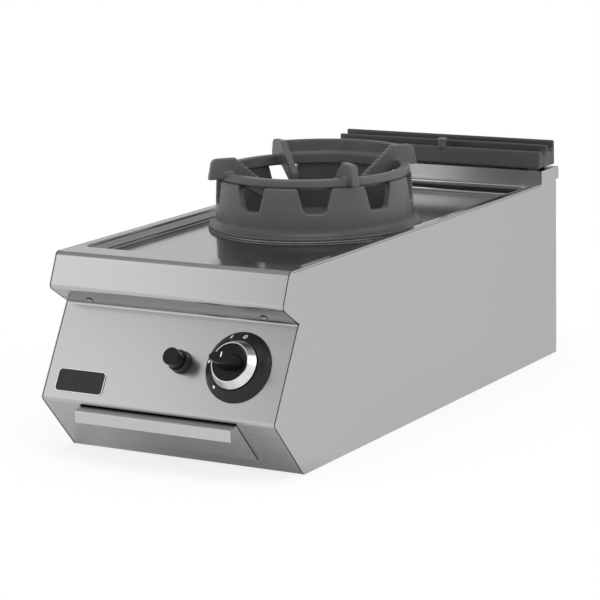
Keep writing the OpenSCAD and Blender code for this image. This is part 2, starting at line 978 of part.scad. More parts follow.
// A lug as radius and height above the seat: it overhangs the band outside and
// reaches in and down past the seat to a blunt tip
module lug_outline() {
    crown = bend_points([lug_top_r, lug_h], [lug_brow_r, lug_h], [lug_toe_r, lug_clear], lug_corner_r);
    polygon(concat(
        slope_steps,
        [[lug_top_r, lug_h]],
        crown,
        [
            [lug_toe_r, lug_clear],
            [band_r, lug_clear],
            [band_r - band_edge, 0],
            [band_in_r, 0],
            [lug_tip_r, -lug_sink - lug_tip_h]
        ]
    ));
}

module wok_ring_top() {
    color(iron)
        translate([0, 0, seat_z + rest_gap])
            rotate([0, 0, first_lug]) {
                rotate_extrude()
                    polygon([
                        [seat_in_r - spigot_gap - lip_t, -spigot_h],
                        [seat_in_r - spigot_gap, -spigot_h],
                        [seat_in_r - spigot_gap, 0],
                        [band_r - band_edge, 0],
                        [band_r, band_edge],
                        [band_r, band_h - band_edge],
                        [band_r - band_edge, band_h],
                        [seat_in_r - spigot_gap - lip_t, band_h]
                    ]);
                for (i = [0 : lug_count - 1])
                    rotate([0, 0, i * lug_angle])
                        rotate([90, 0, 0])
                            translate([0, 0, -lug_t / 2])
                                linear_extrude(lug_t)
                                    lug_outline();
                rotate([0, 0, 2 * lug_angle])
                    rotate_extrude(angle = lug_angle)
                        translate([band_r - band_edge - guard_t, band_h - guard_drop])
                            square([guard_t, lug_h - band_h]);
            }
}

// Burner
rail_w = 30;
rail_t = 2;
rail_h = 26;
rail_in = 32;
rail_y = burner_r - rail_in;
bowl_foot_share = 0.78;
bowl_floor_share = 0.7;
body_floor_t = 8;
body_wall_t = 9;
body_h = 42;
hub_r = 14;
pin_r = 5;
tube_z = burner_seat_h + 22;
neck_r = tube_r + 3;
neck_out = 12;
crown_z = burner_seat_h + body_h;
crown_t = 10;
crown_step = 4;
port_w = 2.5;
port_h = 12;
cap_t = 9;

module burner_rail(y) {
    color(galvanised)
        difference() {
            block(
                [-inner_w / 2, y - rail_w / 2, burner_seat_h - rail_h],
                [inner_w / 2, y + rail_w / 2, burner_seat_h]
            );
            block(
                [-body_w, y - rail_w / 2 + rail_t, burner_seat_h - rail_h - over],
                [body_w, y + rail_w / 2 - rail_t, burner_seat_h - rail_t]
            );
        }
}

module burner_rail_front() {
    burner_rail(-rail_y);
}

module burner_rail_rear() {
    burner_rail(rail_y);
}

// Outside of the burner body: a bowl that opens upwards
module bowl_profile() {
    polygon([
        [0, 0],
        [burner_r * bowl_foot_share, 0],
        [burner_r, body_h / 2],
        [burner_r, body_h],
        [0, body_h]
    ]);
}

module burner_body() {
    color(iron)
        translate([0, 0, burner_seat_h])
            difference() {
                union() {
                    rotate_extrude()
                        bowl_profile();
                    translate([0, 0, tube_z - burner_seat_h])
                        rotate([90, 0, 0])
                            cylinder(h = burner_r + neck_out, r = neck_r);
                }
                difference() {
                    rotate_extrude()
                        polygon([
                            [0, body_floor_t],
                            [burner_r * bowl_floor_share, body_floor_t],
                            [burner_r - body_wall_t, body_h / 2],
                            [burner_r - body_wall_t, body_h + over],
                            [0, body_h + over]
                        ]);
                    cylinder(h = body_h, r = hub_r);
                }
                translate([0, 0, tube_z - burner_seat_h])
                    rotate([90, 0, 0])
                        translate([0, 0, burner_r - 2 * body_wall_t])
                            cylinder(h = burner_r, r = tube_r + run_fit);
                translate([0, 0, body_floor_t])
                    cylinder(h = body_h, r = pin_r + run_fit);
            }
}

// Flame crown: a flanged ring with a port at each step round it
module burner_crown() {
    color(brass)
        translate([0, 0, crown_z])
            difference() {
                rotate_extrude()
                    polygon([
                        [crown_r - crown_t, -crown_step],
                        [burner_r - body_wall_t - loose_fit, -crown_step],
                        [burner_r - body_wall_t - loose_fit, 0],
                        [crown_r + crown_step, 0],
                        [crown_r + crown_step, crown_step],
                        [crown_r, crown_step + crown_step / 2],
                        [crown_r, crown_h],
                        [crown_r - crown_t, crown_h]
                    ]);
                for (i = [0 : port_count - 1])
                    rotate([0, 0, i * 360 / port_count])
                        translate([crown_r - crown_t - over, -port_w / 2, crown_h - port_h])
                            cube([crown_t + 2 * over, port_w, port_h - crown_step]);
            }
}

module burner_cap() {
    pin_low = burner_seat_h + body_floor_t + crown_step;
    color(iron) {
        translate([0, 0, crown_z + crown_h])
            rotate_extrude()
                polygon([
                    [0, 0],
                    [cap_r, 0],
                    [cap_r + crown_step, crown_step / 2],
                    [cap_r, crown_step],
                    [cap_r / 2, cap_t],
                    [0, cap_t]
                ]);
        translate([0, 0, pin_low])
            cylinder(h = crown_z + crown_h - pin_low, r = pin_r);
        translate([0, 0, crown_z + crown_h - crown_step])
            cylinder(h = crown_step, r = crown_r - crown_t - loose_fit);
    }
}

// Mixing tube, with a bell mouth at the front, and the injector's place before it
jet_gap = 38;
jet_y = body_d / 2 - jet_front;
tube_l = jet_y - jet_gap;
bell_r = 27;
bell_l = 22;
bell_cone_l = 26;
tube_t = 2;

module mixing_tube() {
    start = burner_r - body_wall_t;
    color(iron)
        translate([0, 0, tube_z])
            rotate([90, 0, 0])
                rotate_extrude()
                    polygon([
                        [tube_r - tube_t, start],
                        [tube_r, start],
                        [tube_r, tube_l - bell_l - bell_cone_l],
                        [bell_r, tube_l - bell_l],
                        [bell_r, tube_l],
                        [bell_r - tube_t, tube_l],
                        [bell_r - tube_t, tube_l - bell_l],
                        [tube_r - tube_t, tube_l - bell_l - bell_cone_l]
                    ]);
}

// Injector in its bracket
jet_plate_t = 2;
arm_h = 14;
plate_h = 22;
jet_r = 7;
jet_hex_r = 11;
jet_hex_t = 8;
jet_l = 16;
jet_tip_r = 3;
jet_tip_l = 8;
disc_r = 24;
disc_t = 2;
disc_hub_r = 11;
disc_hub_l = 7;

module jet_bracket() {
    arm_in = bell_r + run_fit;
    color(galvanised)
        translate([0, 0, tube_z]) {
            for (side = [-1, 1])
                translate([side * (arm_in + jet_plate_t / 2), 0, 0])
                    block(
                        [-jet_plate_t / 2, -jet_y - jet_plate_t, -arm_h / 2],
                        [jet_plate_t / 2, -tube_l + bell_l / 2, arm_h / 2]
                    );
            difference() {
                block(
                    [-arm_in - jet_plate_t, -jet_y - jet_plate_t, -plate_h / 2],
                    [arm_in + jet_plate_t, -jet_y, plate_h / 2]
                );
                translate([0, over - jet_y, 0])
                    rotate([90, 0, 0])
                        cylinder(h = jet_plate_t + 2 * over, r = jet_r + run_fit);
            }
        }
}

module injector() {
    color(brass)
        translate([0, -jet_y, tube_z])
            rotate([90, 0, 0]) {
                translate([0, 0, -jet_l])
                    cylinder(h = jet_l + jet_plate_t + jet_hex_t, r = jet_r);
                translate([0, 0, -jet_l - jet_tip_l])
                    cylinder(h = jet_tip_l, r1 = jet_tip_r, r2 = jet_r);
                translate([0, 0, jet_plate_t])
                    cylinder(h = jet_hex_t, r = jet_hex_r, $fn = 6);
            }
}

module air_disc() {
    color(galvanised)
        translate([0, -jet_y, tube_z])
            rotate([90, 0, 0])
                difference() {
                    union() {
                        translate([0, 0, -jet_l])
                            cylinder(h = disc_t, r = disc_r);
                        translate([0, 0, -jet_l])
                            cylinder(h = disc_hub_l, r = disc_hub_r);
                    }
                    translate([0, 0, -jet_l - over])
                        cylinder(h = disc_hub_l + 2 * over, r = jet_r + run_fit);
                }
}

// Pilot group, on a small bracket beside the flame crown
pilot_angle = -50;
pilot_out = 6;
pilot_x = burner_r + pilot_out;
pilot_r = 5;
pilot_low = crown_z - 24;
pilot_bend_z = pilot_low - 10;
pilot_h = 44;
probe_step = 13;
spark_r = 3.5;
wire_r = 1;
probe_r = 2.5;
pilot_plate_t = 2;
pilot_plate_w = 40;
pilot_plate_d = 14;
tie_r = 1.5;

function pilot_point(side, z) =
    let (x = pilot_x - probe_r, y = side * probe_step)
    [
        x * cos(pilot_angle) - y * sin(pilot_angle),
        x * sin(pilot_angle) + y * cos(pilot_angle),
        z
    ];

module at_pilot(side) {
    rotate([0, 0, pilot_angle])
        translate([pilot_x - probe_r, side * probe_step, 0])
            children();
}

module pilot_burner() {
    color(brass) {
        at_pilot(0)
            translate([0, 0, pilot_low])
                cylinder(h = pilot_h, r = pilot_r - tie_r);
        at_pilot(0)
            translate([0, 0, pilot_low + pilot_h])
                cylinder(h = pilot_r, r = pilot_r - tie_r / 2);
        difference() {
            at_pilot(0)
                translate([0, 0, pilot_low + pilot_h / 4])
                    block(
                        [pilot_x_in(), -pilot_plate_w / 2, 0],
                        [pilot_plate_d / 2, pilot_plate_w / 2, pilot_plate_t]
                    );
            cylinder(h = crown_z, r = burner_r + run_fit);
            at_pilot(-1)
                translate([0, 0, pilot_low])
                    cylinder(h = pilot_h, r = spark_r + run_fit);
            at_pilot(1)
                translate([0, 0, pilot_low])
                    cylinder(h = pilot_h, r = probe_r + run_fit);
        }
    }
}

// Inner edge of the pilot's plate, just inside the burner body's wall
function pilot_x_in() = burner_r - pilot_x - pilot_plate_d / 2;

module spark_electrode() {
    at_pilot(-1)
        translate([0, 0, pilot_low]) {
            color(ceramic)
                cylinder(h = pilot_h, r = spark_r);
            color(dark_steel)
                translate([0, 0, pilot_h])
                    cylinder(h = 2 * pilot_r, r = wire_r);
        }
}

// Thermocouple, with its lead back to the magnet unit
probe_l = 60;

module thermocouple() {
    color(copper) {
        at_pilot(1)
            translate([0, 0, pilot_low])
                cylinder(h = probe_l, r = probe_r);
        pipe([
            pilot_point(1, pilot_low),
            pilot_point(1, pilot_bend_z),
            [lead_x + lead_step, -lead_y, lead_z],
            panel_point(knob_x, knob_s, magnet_end + 3 * probe_r),
            panel_point(knob_x, knob_s, magnet_end)
        ], tie_r);
    }
}

// Igniter lead, held along its way to the electrode
lead_in = 23;
lead_x = knob_x - lead_in;
lead_y = 200;
lead_z = tube_z - 58;
lead_step = 16;
lead_r = 2;

module igniter_lead() {
    color(black)
        pipe([
            pilot_point(-1, pilot_low),
            pilot_point(-1, pilot_bend_z),
            [lead_x - 3 * lead_step, -lead_y, lead_z],
            panel_point(igniter_x, igniter_s, igniter_l + 5 * lead_r),
            panel_point(igniter_x, igniter_s, igniter_l)
        ], lead_r);
}

// Sizes of the gas valve, with depths behind the control panel's face
valve_r = 20;
valve_front_d = 22;
valve_back_d = 72;
valve_port_d = 50;
port_r = 9;
port_l = 9;
stem_r = 6;
stem_end_d = 46;
rod_r = 3;
rod_l = 18;
magnet_r = 9;
magnet_end = 102;

// Gas supply
supply_r = 7.5;
supply_side = 26;
supply_x = inner_w / 2 - supply_side;
inlet_out = 10;
inlet_l = 32;
inlet_nut_r = 15;
inlet_nut_t = 12;
clip_w = 14;
clip_t = 2;
clip_y = 220;

module gas_inlet() {
    color(brass)
        translate([inlet_x, back_y + inlet_out, inlet_h])
            rotate([90, 0, 0]) {
                cylinder(h = inlet_l, r = inlet_r);
                translate([0, 0, inlet_l])
                    cylinder(h = inlet_nut_t, r = inlet_nut_r, $fn = 6);
            }
}

supply_start = back_y + inlet_out - inlet_l - inlet_nut_t;
valve_mid = panel_point(knob_x, knob_s, valve_port_d);
inlet_port_x = knob_x + valve_r + port_l;

module supply_pipe() {
    color(copper)
        pipe([
            [inlet_x, supply_start, inlet_h],
            [inlet_x, supply_start - 2 * supply_r, inlet_h],
            [supply_x, supply_start - 6 * supply_r, inlet_h],
            [supply_x, valve_mid.y, inlet_h],
            [supply_x, valve_mid.y, valve_mid.z],
            [inlet_port_x, valve_mid.y, valve_mid.z]
        ], supply_r);
}

module pipe_clips() {
    hold_r = supply_r + run_fit;
    color(galvanised)
        for (y = [-clip_y, clip_y])
            translate([supply_x, y, inlet_h])
                difference() {
                    union() {
                        rotate([90, 0, 0])
                            translate([0, 0, -clip_w / 2])
                                cylinder(h = clip_w, r = hold_r + clip_t);
                        block(
                            [0, -clip_w / 2, hold_r],
                            [inner_w / 2 - supply_x, clip_w / 2, hold_r + clip_t]
                        );
                        block(
                            [inner_w / 2 - supply_x - clip_t, -clip_w / 2, -clip_w],
                            [inner_w / 2 - supply_x, clip_w / 2, hold_r + clip_t]
                        );
                    }
                    rotate([90, 0, 0])
                        translate([0, 0, -clip_w])
                            cylinder(h = 2 * clip_w, r = hold_r);
                }
}

burner_pipe_r = 5;
burner_pipe_in = 103;
burner_pipe_y = front_y + burner_pipe_in;

module burner_pipe() {
    outlet_x = knob_x - valve_r - port_l;
    color(copper)
        pipe([
            [outlet_x, valve_mid.y, valve_mid.z],
            [outlet_x - 4 * burner_pipe_r, valve_mid.y, valve_mid.z],
            [0, burner_pipe_y, valve_mid.z + 4 * burner_pipe_r],
            [0, burner_pipe_y, tube_z],
            [0, -jet_y - jet_plate_t - jet_hex_t, tube_z]
        ], burner_pipe_r);
}

pilot_pipe_r = 2;

module pilot_pipe() {
    color(copper)
        pipe([
            panel_point(knob_x, knob_s + valve_r, valve_port_d),
            panel_point(knob_x, knob_s + valve_r + 8 * pilot_pipe_r, valve_port_d),
            [lead_x, -lead_y, lead_z],
            pilot_point(0, pilot_bend_z),
            pilot_point(0, pilot_low)
        ], pilot_pipe_r);
}

// Gas valve behind the knob, with a bore for the spindle and one for the push rod

module gas_valve() {
    color(brass)
        difference() {
            union() {
                on_panel(knob_x, knob_s)
                    translate([0, 0, -valve_back_d])
                        cylinder(h = valve_back_d - valve_front_d, r = valve_r);
                rod(
                    valve_mid - [valve_r + port_l, 0, 0],
                    valve_mid + [valve_r + port_l, 0, 0],
                    port_r
                );
            }
            on_panel(knob_x, knob_s) {
                translate([0, 0, -stem_end_d - knob_push])
                    cylinder(h = valve_back_d, r = stem_r + run_fit);
                translate([0, 0, -valve_back_d + over])
                    cylinder(h = valve_back_d, r = rod_r + run_fit);
            }
        }
}

module magnet_unit() {
    color(bright)
        on_panel(knob_x, knob_s)
            translate([0, 0, -magnet_end]) {
                cylinder(h = magnet_end - valve_back_d, r = magnet_r);
                translate([0, 0, magnet_end - valve_back_d - port_l])
                    cylinder(h = port_l, r = magnet_r + 2 * clip_t, $fn = 6);
            }
}

// Bracket that hangs the valve from the control panel's back
module valve_bracket() {
    leg = valve_r + clip_t;
    color(galvanised)
        on_panel(knob_x, knob_s)
            difference() {
                union() {
                    block(
                        [-leg - flange_w, -valve_r, -sheet_t - clip_t],
                        [leg + flange_w, valve_r, -sheet_t - run_fit]
                    );
                    for (side = [-1, 1])
                        translate([side * (leg + clip_t / 2), 0, 0])
                            block(
                                [-clip_t / 2, -valve_r / 2, -valve_front_d],
                                [clip_t / 2, valve_r / 2, -sheet_t - run_fit]
                            );
                    block(
                        [-leg - clip_t, -valve_r / 2, -valve_front_d],
                        [leg + clip_t, valve_r / 2, clip_t - valve_front_d]
                    );
                }
                translate([0, 0, -valve_back_d])
                    cylinder(h = valve_back_d, r = spindle_hole_r);
            }
}

module push_rod() {
    color(dark_steel)
        on_panel(knob_x, knob_s)
            translate([0, 0, -stem_end_d - rod_l])
                cylinder(h = rod_l, r = rod_r);
}

module valve_spindle() {
    color(dark_steel)
        on_panel(knob_x, knob_s) {
            translate([0, 0, -stem_end_d])
                cylinder(h = stem_end_d - valve_front_d + knob_push, r = stem_r);
            translate([0, 0, -stem_end_d])
                cylinder(h = stem_end_d + face_h, r = spindle_r);
        }
}

// Knob
bezel_floor_t = 3;
bezel_edge = 1.5;
bezel_well_r = trim_r + 1.5;
hub_in = bezel_floor_t + knob_push + 1;
trim_low = bezel_h - 4;
grip_taper = 1.5;
grip_edge = 2;
grip_points = 32;
crest_share = 0.6;

module knob_bezel() {
    color(black)
        on_panel(knob_x, knob_s)
            difference() {
                rotate_extrude()
                    polygon([
                        [0, 0],
                        [bezel_r, 0],
                        [bezel_r, bezel_edge],
                        [(bezel_r + bezel_well_r) / 2 + bezel_edge, bezel_h * crest_share],
                        [bezel_well_r + bezel_edge, bezel_h],
                        [0, bezel_h]
                    ]);
                translate([0, 0, bezel_floor_t])
                    cylinder(h = bezel_h, r = bezel_well_r);
                translate([0, 0, -over])
                    cylinder(h = bezel_h, r = spindle_hole_r);
            }
}

module knob_trim_ring() {
    color(bright)
        on_panel(knob_x, knob_s)
            rotate_extrude()
                polygon([
                    [face_r + run_fit, trim_low],
                    [trim_r, trim_low],
                    [trim_r, bezel_h + bezel_edge],
                    [face_r + bezel_edge, face_h],
                    [face_r + run_fit, face_h]
                ]);
}

// The grip's cross-section at height z, an oval w wide and t thick
function grip_oval(w, t, z) = [
    for (i = [0 : grip_points - 1])
        let (q = 360 * i / grip_points)
        [w / 2 * cos(q), t / 2 * sin(q), z]
];

module knob_grip() {
    color(black)
        on_panel(knob_x, knob_s)
            difference() {
                union() {
                    translate([0, 0, hub_in])
                        cylinder(h = face_h - hub_in - bezel_edge, r = face_r);
                    translate([0, 0, face_h - bezel_edge])
                        cylinder(h = bezel_edge, r1 = face_r, r2 = face_r - 2 * bezel_edge);
                    loft([
                        grip_oval(root_w, root_t, face_h - bezel_edge),
                        grip_oval(grip_w, grip_t, grip_h - grip_edge),
                        grip_oval(grip_w - grip_taper, grip_t - grip_taper, grip_h - grip_edge / 4),
                        grip_oval(grip_w - 2 * grip_taper, grip_t - 2 * grip_taper, grip_h)
                    ]);
                }
                translate([0, 0, hub_in - over])
                    cylinder(h = face_h - hub_in + over, r = spindle_r + run_fit);
            }
}

// Igniter
igniter_l = 62;
igniter_r = 11;
igniter_top = 2;
rim_r = nut_r + 1;
rim_h = 1.6;
plunger_r = 4;
plunger_l = 30;
plunger_low = igniter_top - plunger_l;
button_low = igniter_top + button_push + over;
button_edge = 1;

module igniter_nut() {
    color(black)
        on_panel(igniter_x, igniter_s)
            difference() {
                union() {
                    cylinder(h = rim_h, r = rim_r);
                    cylinder(h = nut_h - button_edge, r = nut_r);
                    translate([0, 0, nut_h - button_edge])
                        cylinder(h = button_edge, r1 = nut_r, r2 = nut_r - button_edge);
                }
                translate([0, 0, -over])
                    cylinder(h = nut_h + 2 * over, r = button_r + run_fit);
            }
}

module igniter_body() {
    color(black)
        on_panel(igniter_x, igniter_s)
            difference() {
                union() {
                    translate([0, 0, -igniter_l])
                        cylinder(h = igniter_l + igniter_top, r = igniter_r);
                    translate([0, 0, -sheet_t - clip_t])
                        cylinder(h = clip_t, r = nut_r);
                    cylinder(h = igniter_top, r = button_r);
                }
                translate([0, 0, plunger_low - button_push - over])
                    cylinder(h = igniter_l, r = plunger_r + run_fit);
            }
}

module igniter_button() {
    color(black)
        on_panel(igniter_x, igniter_s) {
            translate([0, 0, button_low])
                cylinder(h = button_h - button_low - button_edge, r = button_r);
            translate([0, 0, button_h - button_edge])
                cylinder(h = button_edge, r1 = button_r, r2 = button_r - button_edge);
            translate([0, 0, plunger_low])
                cylinder(h = button_low + over - plunger_low, r = plunger_r);
        }
}

// Drip tray
pan_wall = 5;
pan_half = tray_w / 2 - pan_wall;
pan_t = 1.2;
pan_back = front_y + tray_l;
tray_back = sheet_t - tray_proud;

// Depth of the slope's inner face, t behind its outside, at height z
function slope_y(z, t) =
    let (p = slope_point(0, -t))
    p.x + (p.y - z) * slope_down.x / -slope_down.y;

module drip_tray() {
    color(steel)
        difference() {
            across(2 * pan_half)
                polygon([
                    [slope_y(pan_floor_h, tray_back), pan_floor_h],
                    [slope_y(pan_rim_h, tray_back), pan_rim_h],
                    [pan_back, pan_rim_h],
                    [pan_back, pan_floor_h]
                ]);
            across(2 * (pan_half - pan_t))
                polygon([
                    [slope_y(pan_floor_h + pan_t, tray_back + pan_t), pan_floor_h + pan_t],
                    [slope_y(pan_rim_h + over, tray_back + pan_t), pan_rim_h + over],
                    [pan_back - pan_t, pan_rim_h + over],
                    [pan_back - pan_t, pan_floor_h + pan_t]
                ]);
        }
}

lip_top = [front_y - lip_out + sheet_t, bend_h - lip_drop - sheet_t];
lip_r = 2;

// Tray front: a shallow box that stands out of the slope, with a lip folded from its top
module tray_front() {
    brim = [slope_y(lip_top.y, -tray_proud), lip_top.y];
    face = [slope_point(tray_low_s, tray_proud), brim, lip_top, lip_top - [0, lip_h - sheet_t]];
    color(steel) {
        across(tray_w)
            polygon(sheet_outline(face, [0, sheet_t / 4, lip_r, 0], -sheet_t));
        across(tray_w)
            polygon([
                slope_point(tray_low_s, tray_proud),
                slope_point(tray_low_s - sheet_t, tray_proud),
                slope_point(tray_low_s - sheet_t, 0),
                slope_point(tray_low_s, 0)
            ]);
        for (side = [-1, 1])
            translate([side * (tray_w - sheet_t) / 2, 0, 0])
                across(sheet_t)
                    polygon([
                        slope_point(tray_low_s, tray_proud),
                        brim,
                        [slope_y(lip_top.y, sheet_t), lip_top.y],
                        slope_point(tray_low_s, -sheet_t)
                    ]);
    }
}

runner_t = 2;
runner_gap = 1;
runner_ledge = 18;
runner_h = 40;
runner_front = base_front;
runner_back = pan_back + flange_w;

module tray_runner(side) {
    ledge_top = pan_floor_h - slide_gap;
    web_in = pan_half + runner_gap;
    color(galvanised)
        translate([side * web_in, 0, 0])
            mirror([side < 0 ? 1 : 0, 0, 0]) {
                block([0, runner_front, sheet_t], [runner_t, runner_back, runner_h]);
                block([0, runner_front, sheet_t], [runner_ledge, runner_back, sheet_t + runner_t]);
                block(
                    [-runner_ledge, runner_front, ledge_top - runner_t],
                    [runner_t, runner_back, ledge_top]
                );
            }
}

module tray_runner_left() {
    tray_runner(-1);
}

module tray_runner_right() {
    tray_runner(1);
}

side_panel_left();
side_panel_right();
hob_top();
control_panel();
base_pan();
rear_panel();
flue_riser();
flue_duct();
rear_stops();
bevel_screws();
rear_screws();
flue_grate();
grate_stud();
wok_ring_base();
wok_ring_top();
burner_rail_front();
burner_rail_rear();
burner_body();
burner_crown();
burner_cap();
mixing_tube();
air_disc();
jet_bracket();
injector();
pilot_burner();
spark_electrode();
thermocouple();
igniter_lead();
gas_inlet();
supply_pipe();
pipe_clips();
burner_pipe();
pilot_pipe();
gas_valve();
magnet_unit();
valve_bracket();
push_rod();
valve_spindle();
knob_bezel();
knob_trim_ring();
knob_grip();
igniter_nut();
igniter_body();
igniter_button();
drip_tray();
tray_front();
tray_runner_left();
tray_runner_right();
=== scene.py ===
"""Looks of the wok range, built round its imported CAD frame."""

import json
import math

import bmesh
import bpy
from mathutils import Matrix, Vector


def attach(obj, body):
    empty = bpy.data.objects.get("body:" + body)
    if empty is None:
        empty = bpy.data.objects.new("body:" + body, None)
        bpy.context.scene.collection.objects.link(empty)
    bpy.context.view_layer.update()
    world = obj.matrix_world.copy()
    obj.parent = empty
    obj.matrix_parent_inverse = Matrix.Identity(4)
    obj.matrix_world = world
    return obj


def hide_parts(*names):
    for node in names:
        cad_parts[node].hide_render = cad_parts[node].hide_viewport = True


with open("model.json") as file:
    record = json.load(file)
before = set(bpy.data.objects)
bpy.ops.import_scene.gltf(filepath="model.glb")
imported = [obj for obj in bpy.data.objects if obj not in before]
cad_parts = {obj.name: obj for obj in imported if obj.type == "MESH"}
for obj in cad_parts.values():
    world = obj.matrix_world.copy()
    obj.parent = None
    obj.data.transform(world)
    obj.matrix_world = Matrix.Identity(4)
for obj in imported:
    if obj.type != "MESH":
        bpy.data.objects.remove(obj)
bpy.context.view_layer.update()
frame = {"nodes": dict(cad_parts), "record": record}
nodes = frame["nodes"]

# The scene is in metres. Outlines, heights and widths below are in mm, and places in metres
MM = 0.001
ORIGIN = Vector((0, 0, 0))
AXIS_X = Vector((1, 0, 0))
AXIS_Y = Vector((0, 1, 0))
AXIS_Z = Vector((0, 0, 1))

# Camera, solved from the casing's edges in the photograph
FOCAL_PX = 2485.6932
FRAME_PX = 600
SENSOR_MM = 36.0
AZIMUTH = math.radians(30.6137)
ELEVATION = math.radians(11.7485)
ROLL = math.radians(-1.3403)
CAMERA_AT = Vector((1.9315, -3.31584, 0.96045))
CAMERA_FAR = 50.0

# World: its light on surfaces, and how bright a mirrored ray sees the studio's ceiling.
# The ceiling begins and is full where the ray's direction has these heights
WHITE = (1.0, 1.0, 1.0, 1.0)
WORLD_LEVEL = 0.85
CEILING_LEVEL = 0.45
CEILING_RISE = (0.2, 0.5)

# Floor: half its width, its looks, how far its own light replaces its shading near the
# object, and the distances between which it turns all white
FLOOR_HALF = 14.0
FLOOR_COLOR = (0.90, 0.90, 0.90)
FLOOR_ROUGH = 0.9
FLOOR_SHOWN = 0.8
FLOOR_FADE = (0.45, 0.8)
# The shadows that the front slope and the bevel mirror: centre, squeeze of the distance
# along each axis, the distances of the full shade and of its end, and its depth
FLOOR_SHADES = [
    ((0.19, -0.47, 0), (1, 3, 1), (0.25, 0.6), 0.85),
    ((-0.42, -0.22, 0), (1, 0.6, 1), (0.18, 0.4), 0.8),
]

# Lamps: place, what they aim at, width and height, power in watts
LAMPS = {
    "key": ((0.5, -1.0, 4.0), (0, 0, 0.2), (2.4, 2.4), 48),
    "front": ((-2.35, -2.35, 1.75), (0, -0.43, 0.27), (2.0, 1.3), 7.7),
    "low": ((-1.7, -2.9, 0.62), (0, -0.43, 0.2), (2.4, 0.5), 1.3),
    "right": ((3.4, 0.6, 2.2), (0, 0, 0.3), (2.0, 2.0), 26),
}

# The control panel's directions, up its slope and out of it, and the knob's centre on it
PANEL_UP = Vector((0, 0.486812, 0.873507))
PANEL_OUT = Vector((0, -0.873507, 0.486812))
KNOB_AT = Vector((0.119, -0.42703, 0.15613))


def linked(name, data):
    """A new object of the scene."""
    obj = bpy.data.objects.new(name, data)
    bpy.context.scene.collection.objects.link(obj)
    return obj


def make_camera():
    ca, sa = math.cos(AZIMUTH), math.sin(AZIMUTH)
    ce, se = math.cos(ELEVATION), math.sin(ELEVATION)
    back = Vector((sa * ce, -ca * ce, se))
    right = Vector((ca, sa, 0.0))
    up = back.cross(right)
    cr, sr = math.cos(ROLL), math.sin(ROLL)
    across = cr * right + sr * up
    upward = -sr * right + cr * up
    data = bpy.data.cameras.new("camera")
    data.sensor_fit = "HORIZONTAL"
    data.sensor_width = SENSOR_MM
    data.lens = FOCAL_PX / FRAME_PX * SENSOR_MM
    data.clip_end = CAMERA_FAR
    cam = linked("camera", data)
    turn = Matrix((across, upward, back)).transposed().to_4x4()
    cam.matrix_world = Matrix.Translation(CAMERA_AT) @ turn
    bpy.context.scene.camera = cam


def feed(tree, sockets, values):
    """Gives the first of a node's sockets their values, each a plain value or a link."""
    for socket, value in zip(sockets, values):
        if isinstance(value, bpy.types.NodeSocket):
            tree.links.new(value, socket)
        else:
            socket.default_value = value


def math_node(tree, operation, a, b):
    node = tree.nodes.new("ShaderNodeMath")
    node.operation = operation
    feed(tree, node.inputs, (a, b))
    return node.outputs[0]


def vector_node(tree, operation, *values):
    node = tree.nodes.new("ShaderNodeVectorMath")
    node.operation = operation
    feed(tree, node.inputs, values)
    return node.outputs["Value" if operation == "LENGTH" else "Vector"]


def map_range(tree, value, kind, start, stop, low, high):
    """Maps a value between start and stop to one between low and high."""
    node = tree.nodes.new("ShaderNodeMapRange")
    node.interpolation_type = kind
    node.inputs["From Min"].default_value = start
    node.inputs["From Max"].default_value = stop
    node.inputs["To Min"].default_value = low
    node.inputs["To Max"].default_value = high
    tree.links.new(value, node.inputs["Value"])
    return node.outputs["Result"]


def ramp(tree, value, start, stop, low, high):
    """A smooth step from low at start to high at stop."""
    return map_range(tree, value, "SMOOTHSTEP", start, stop, low, high)


def split_axis(tree, vector, axis):
    split = tree.nodes.new("ShaderNodeSeparateXYZ")
    tree.links.new(vector, split.inputs[0])
    return split.outputs[axis]


def object_point(tree):
    """Where a point is on its object, which for all pieces is its place at rest."""
    return tree.nodes.new("ShaderNodeTexCoord").outputs["Object"]


def shown_rays(tree):
    """1 on rays that show the background, seen straight or mirrored, and on mirrored ones."""
    path = tree.nodes.new("ShaderNodeLightPath").outputs
    mirrored = math_node(tree, "MAXIMUM", path["Is Glossy Ray"], path["Is Transmission Ray"])
    return math_node(tree, "MAXIMUM", path["Is Camera Ray"], mirrored), mirrored


def mix_shaders(tree, share, first, second, output):
    mix = tree.nodes.new("ShaderNodeMixShader")
    feed(tree, mix.inputs, (share, first, second))
    tree.links.new(mix.outputs[0], tree.nodes[output].inputs["Surface"])


def make_world():
    world = bpy.data.worlds.new("studio")
    bpy.context.scene.world = world
    world.use_nodes = True
    tree = world.node_tree
    light = tree.nodes["Background"]
    light.inputs["Color"].default_value = WHITE
    light.inputs["Strength"].default_value = WORLD_LEVEL
    backdrop = tree.nodes.new("ShaderNodeBackground")
    backdrop.inputs["Color"].default_value = WHITE
    shown, mirrored = shown_rays(tree)
    # A mirrored ray sees the white backdrop, and a dimmer studio above it
    way = tree.nodes.new("ShaderNodeTexCoord").outputs["Generated"]
    dim = ramp(tree, split_axis(tree, way, "Z"), *CEILING_RISE, 0.0, 1.0 - CEILING_LEVEL)
    level = math_node(tree, "SUBTRACT", 1.0, math_node(tree, "MULTIPLY", dim, mirrored))
    tree.links.new(level, backdrop.inputs["Strength"])
    mix_shaders(tree, shown, light.outputs[0], backdrop.outputs[0], "World Output")
    bpy.context.scene.view_settings.view_transform = "Standard"


def make_lamp(name, at, aim, size, power):
    data = bpy.data.lights.new(name, "AREA")
    data.shape = "RECTANGLE"
    data.size, data.size_y = size
    data.energy = power
    lamp = linked(name, data)
    lamp.location = at
    lamp.rotation_euler = (Vector(at) - Vector(aim)).to_track_quat("Z", "Y").to_euler()


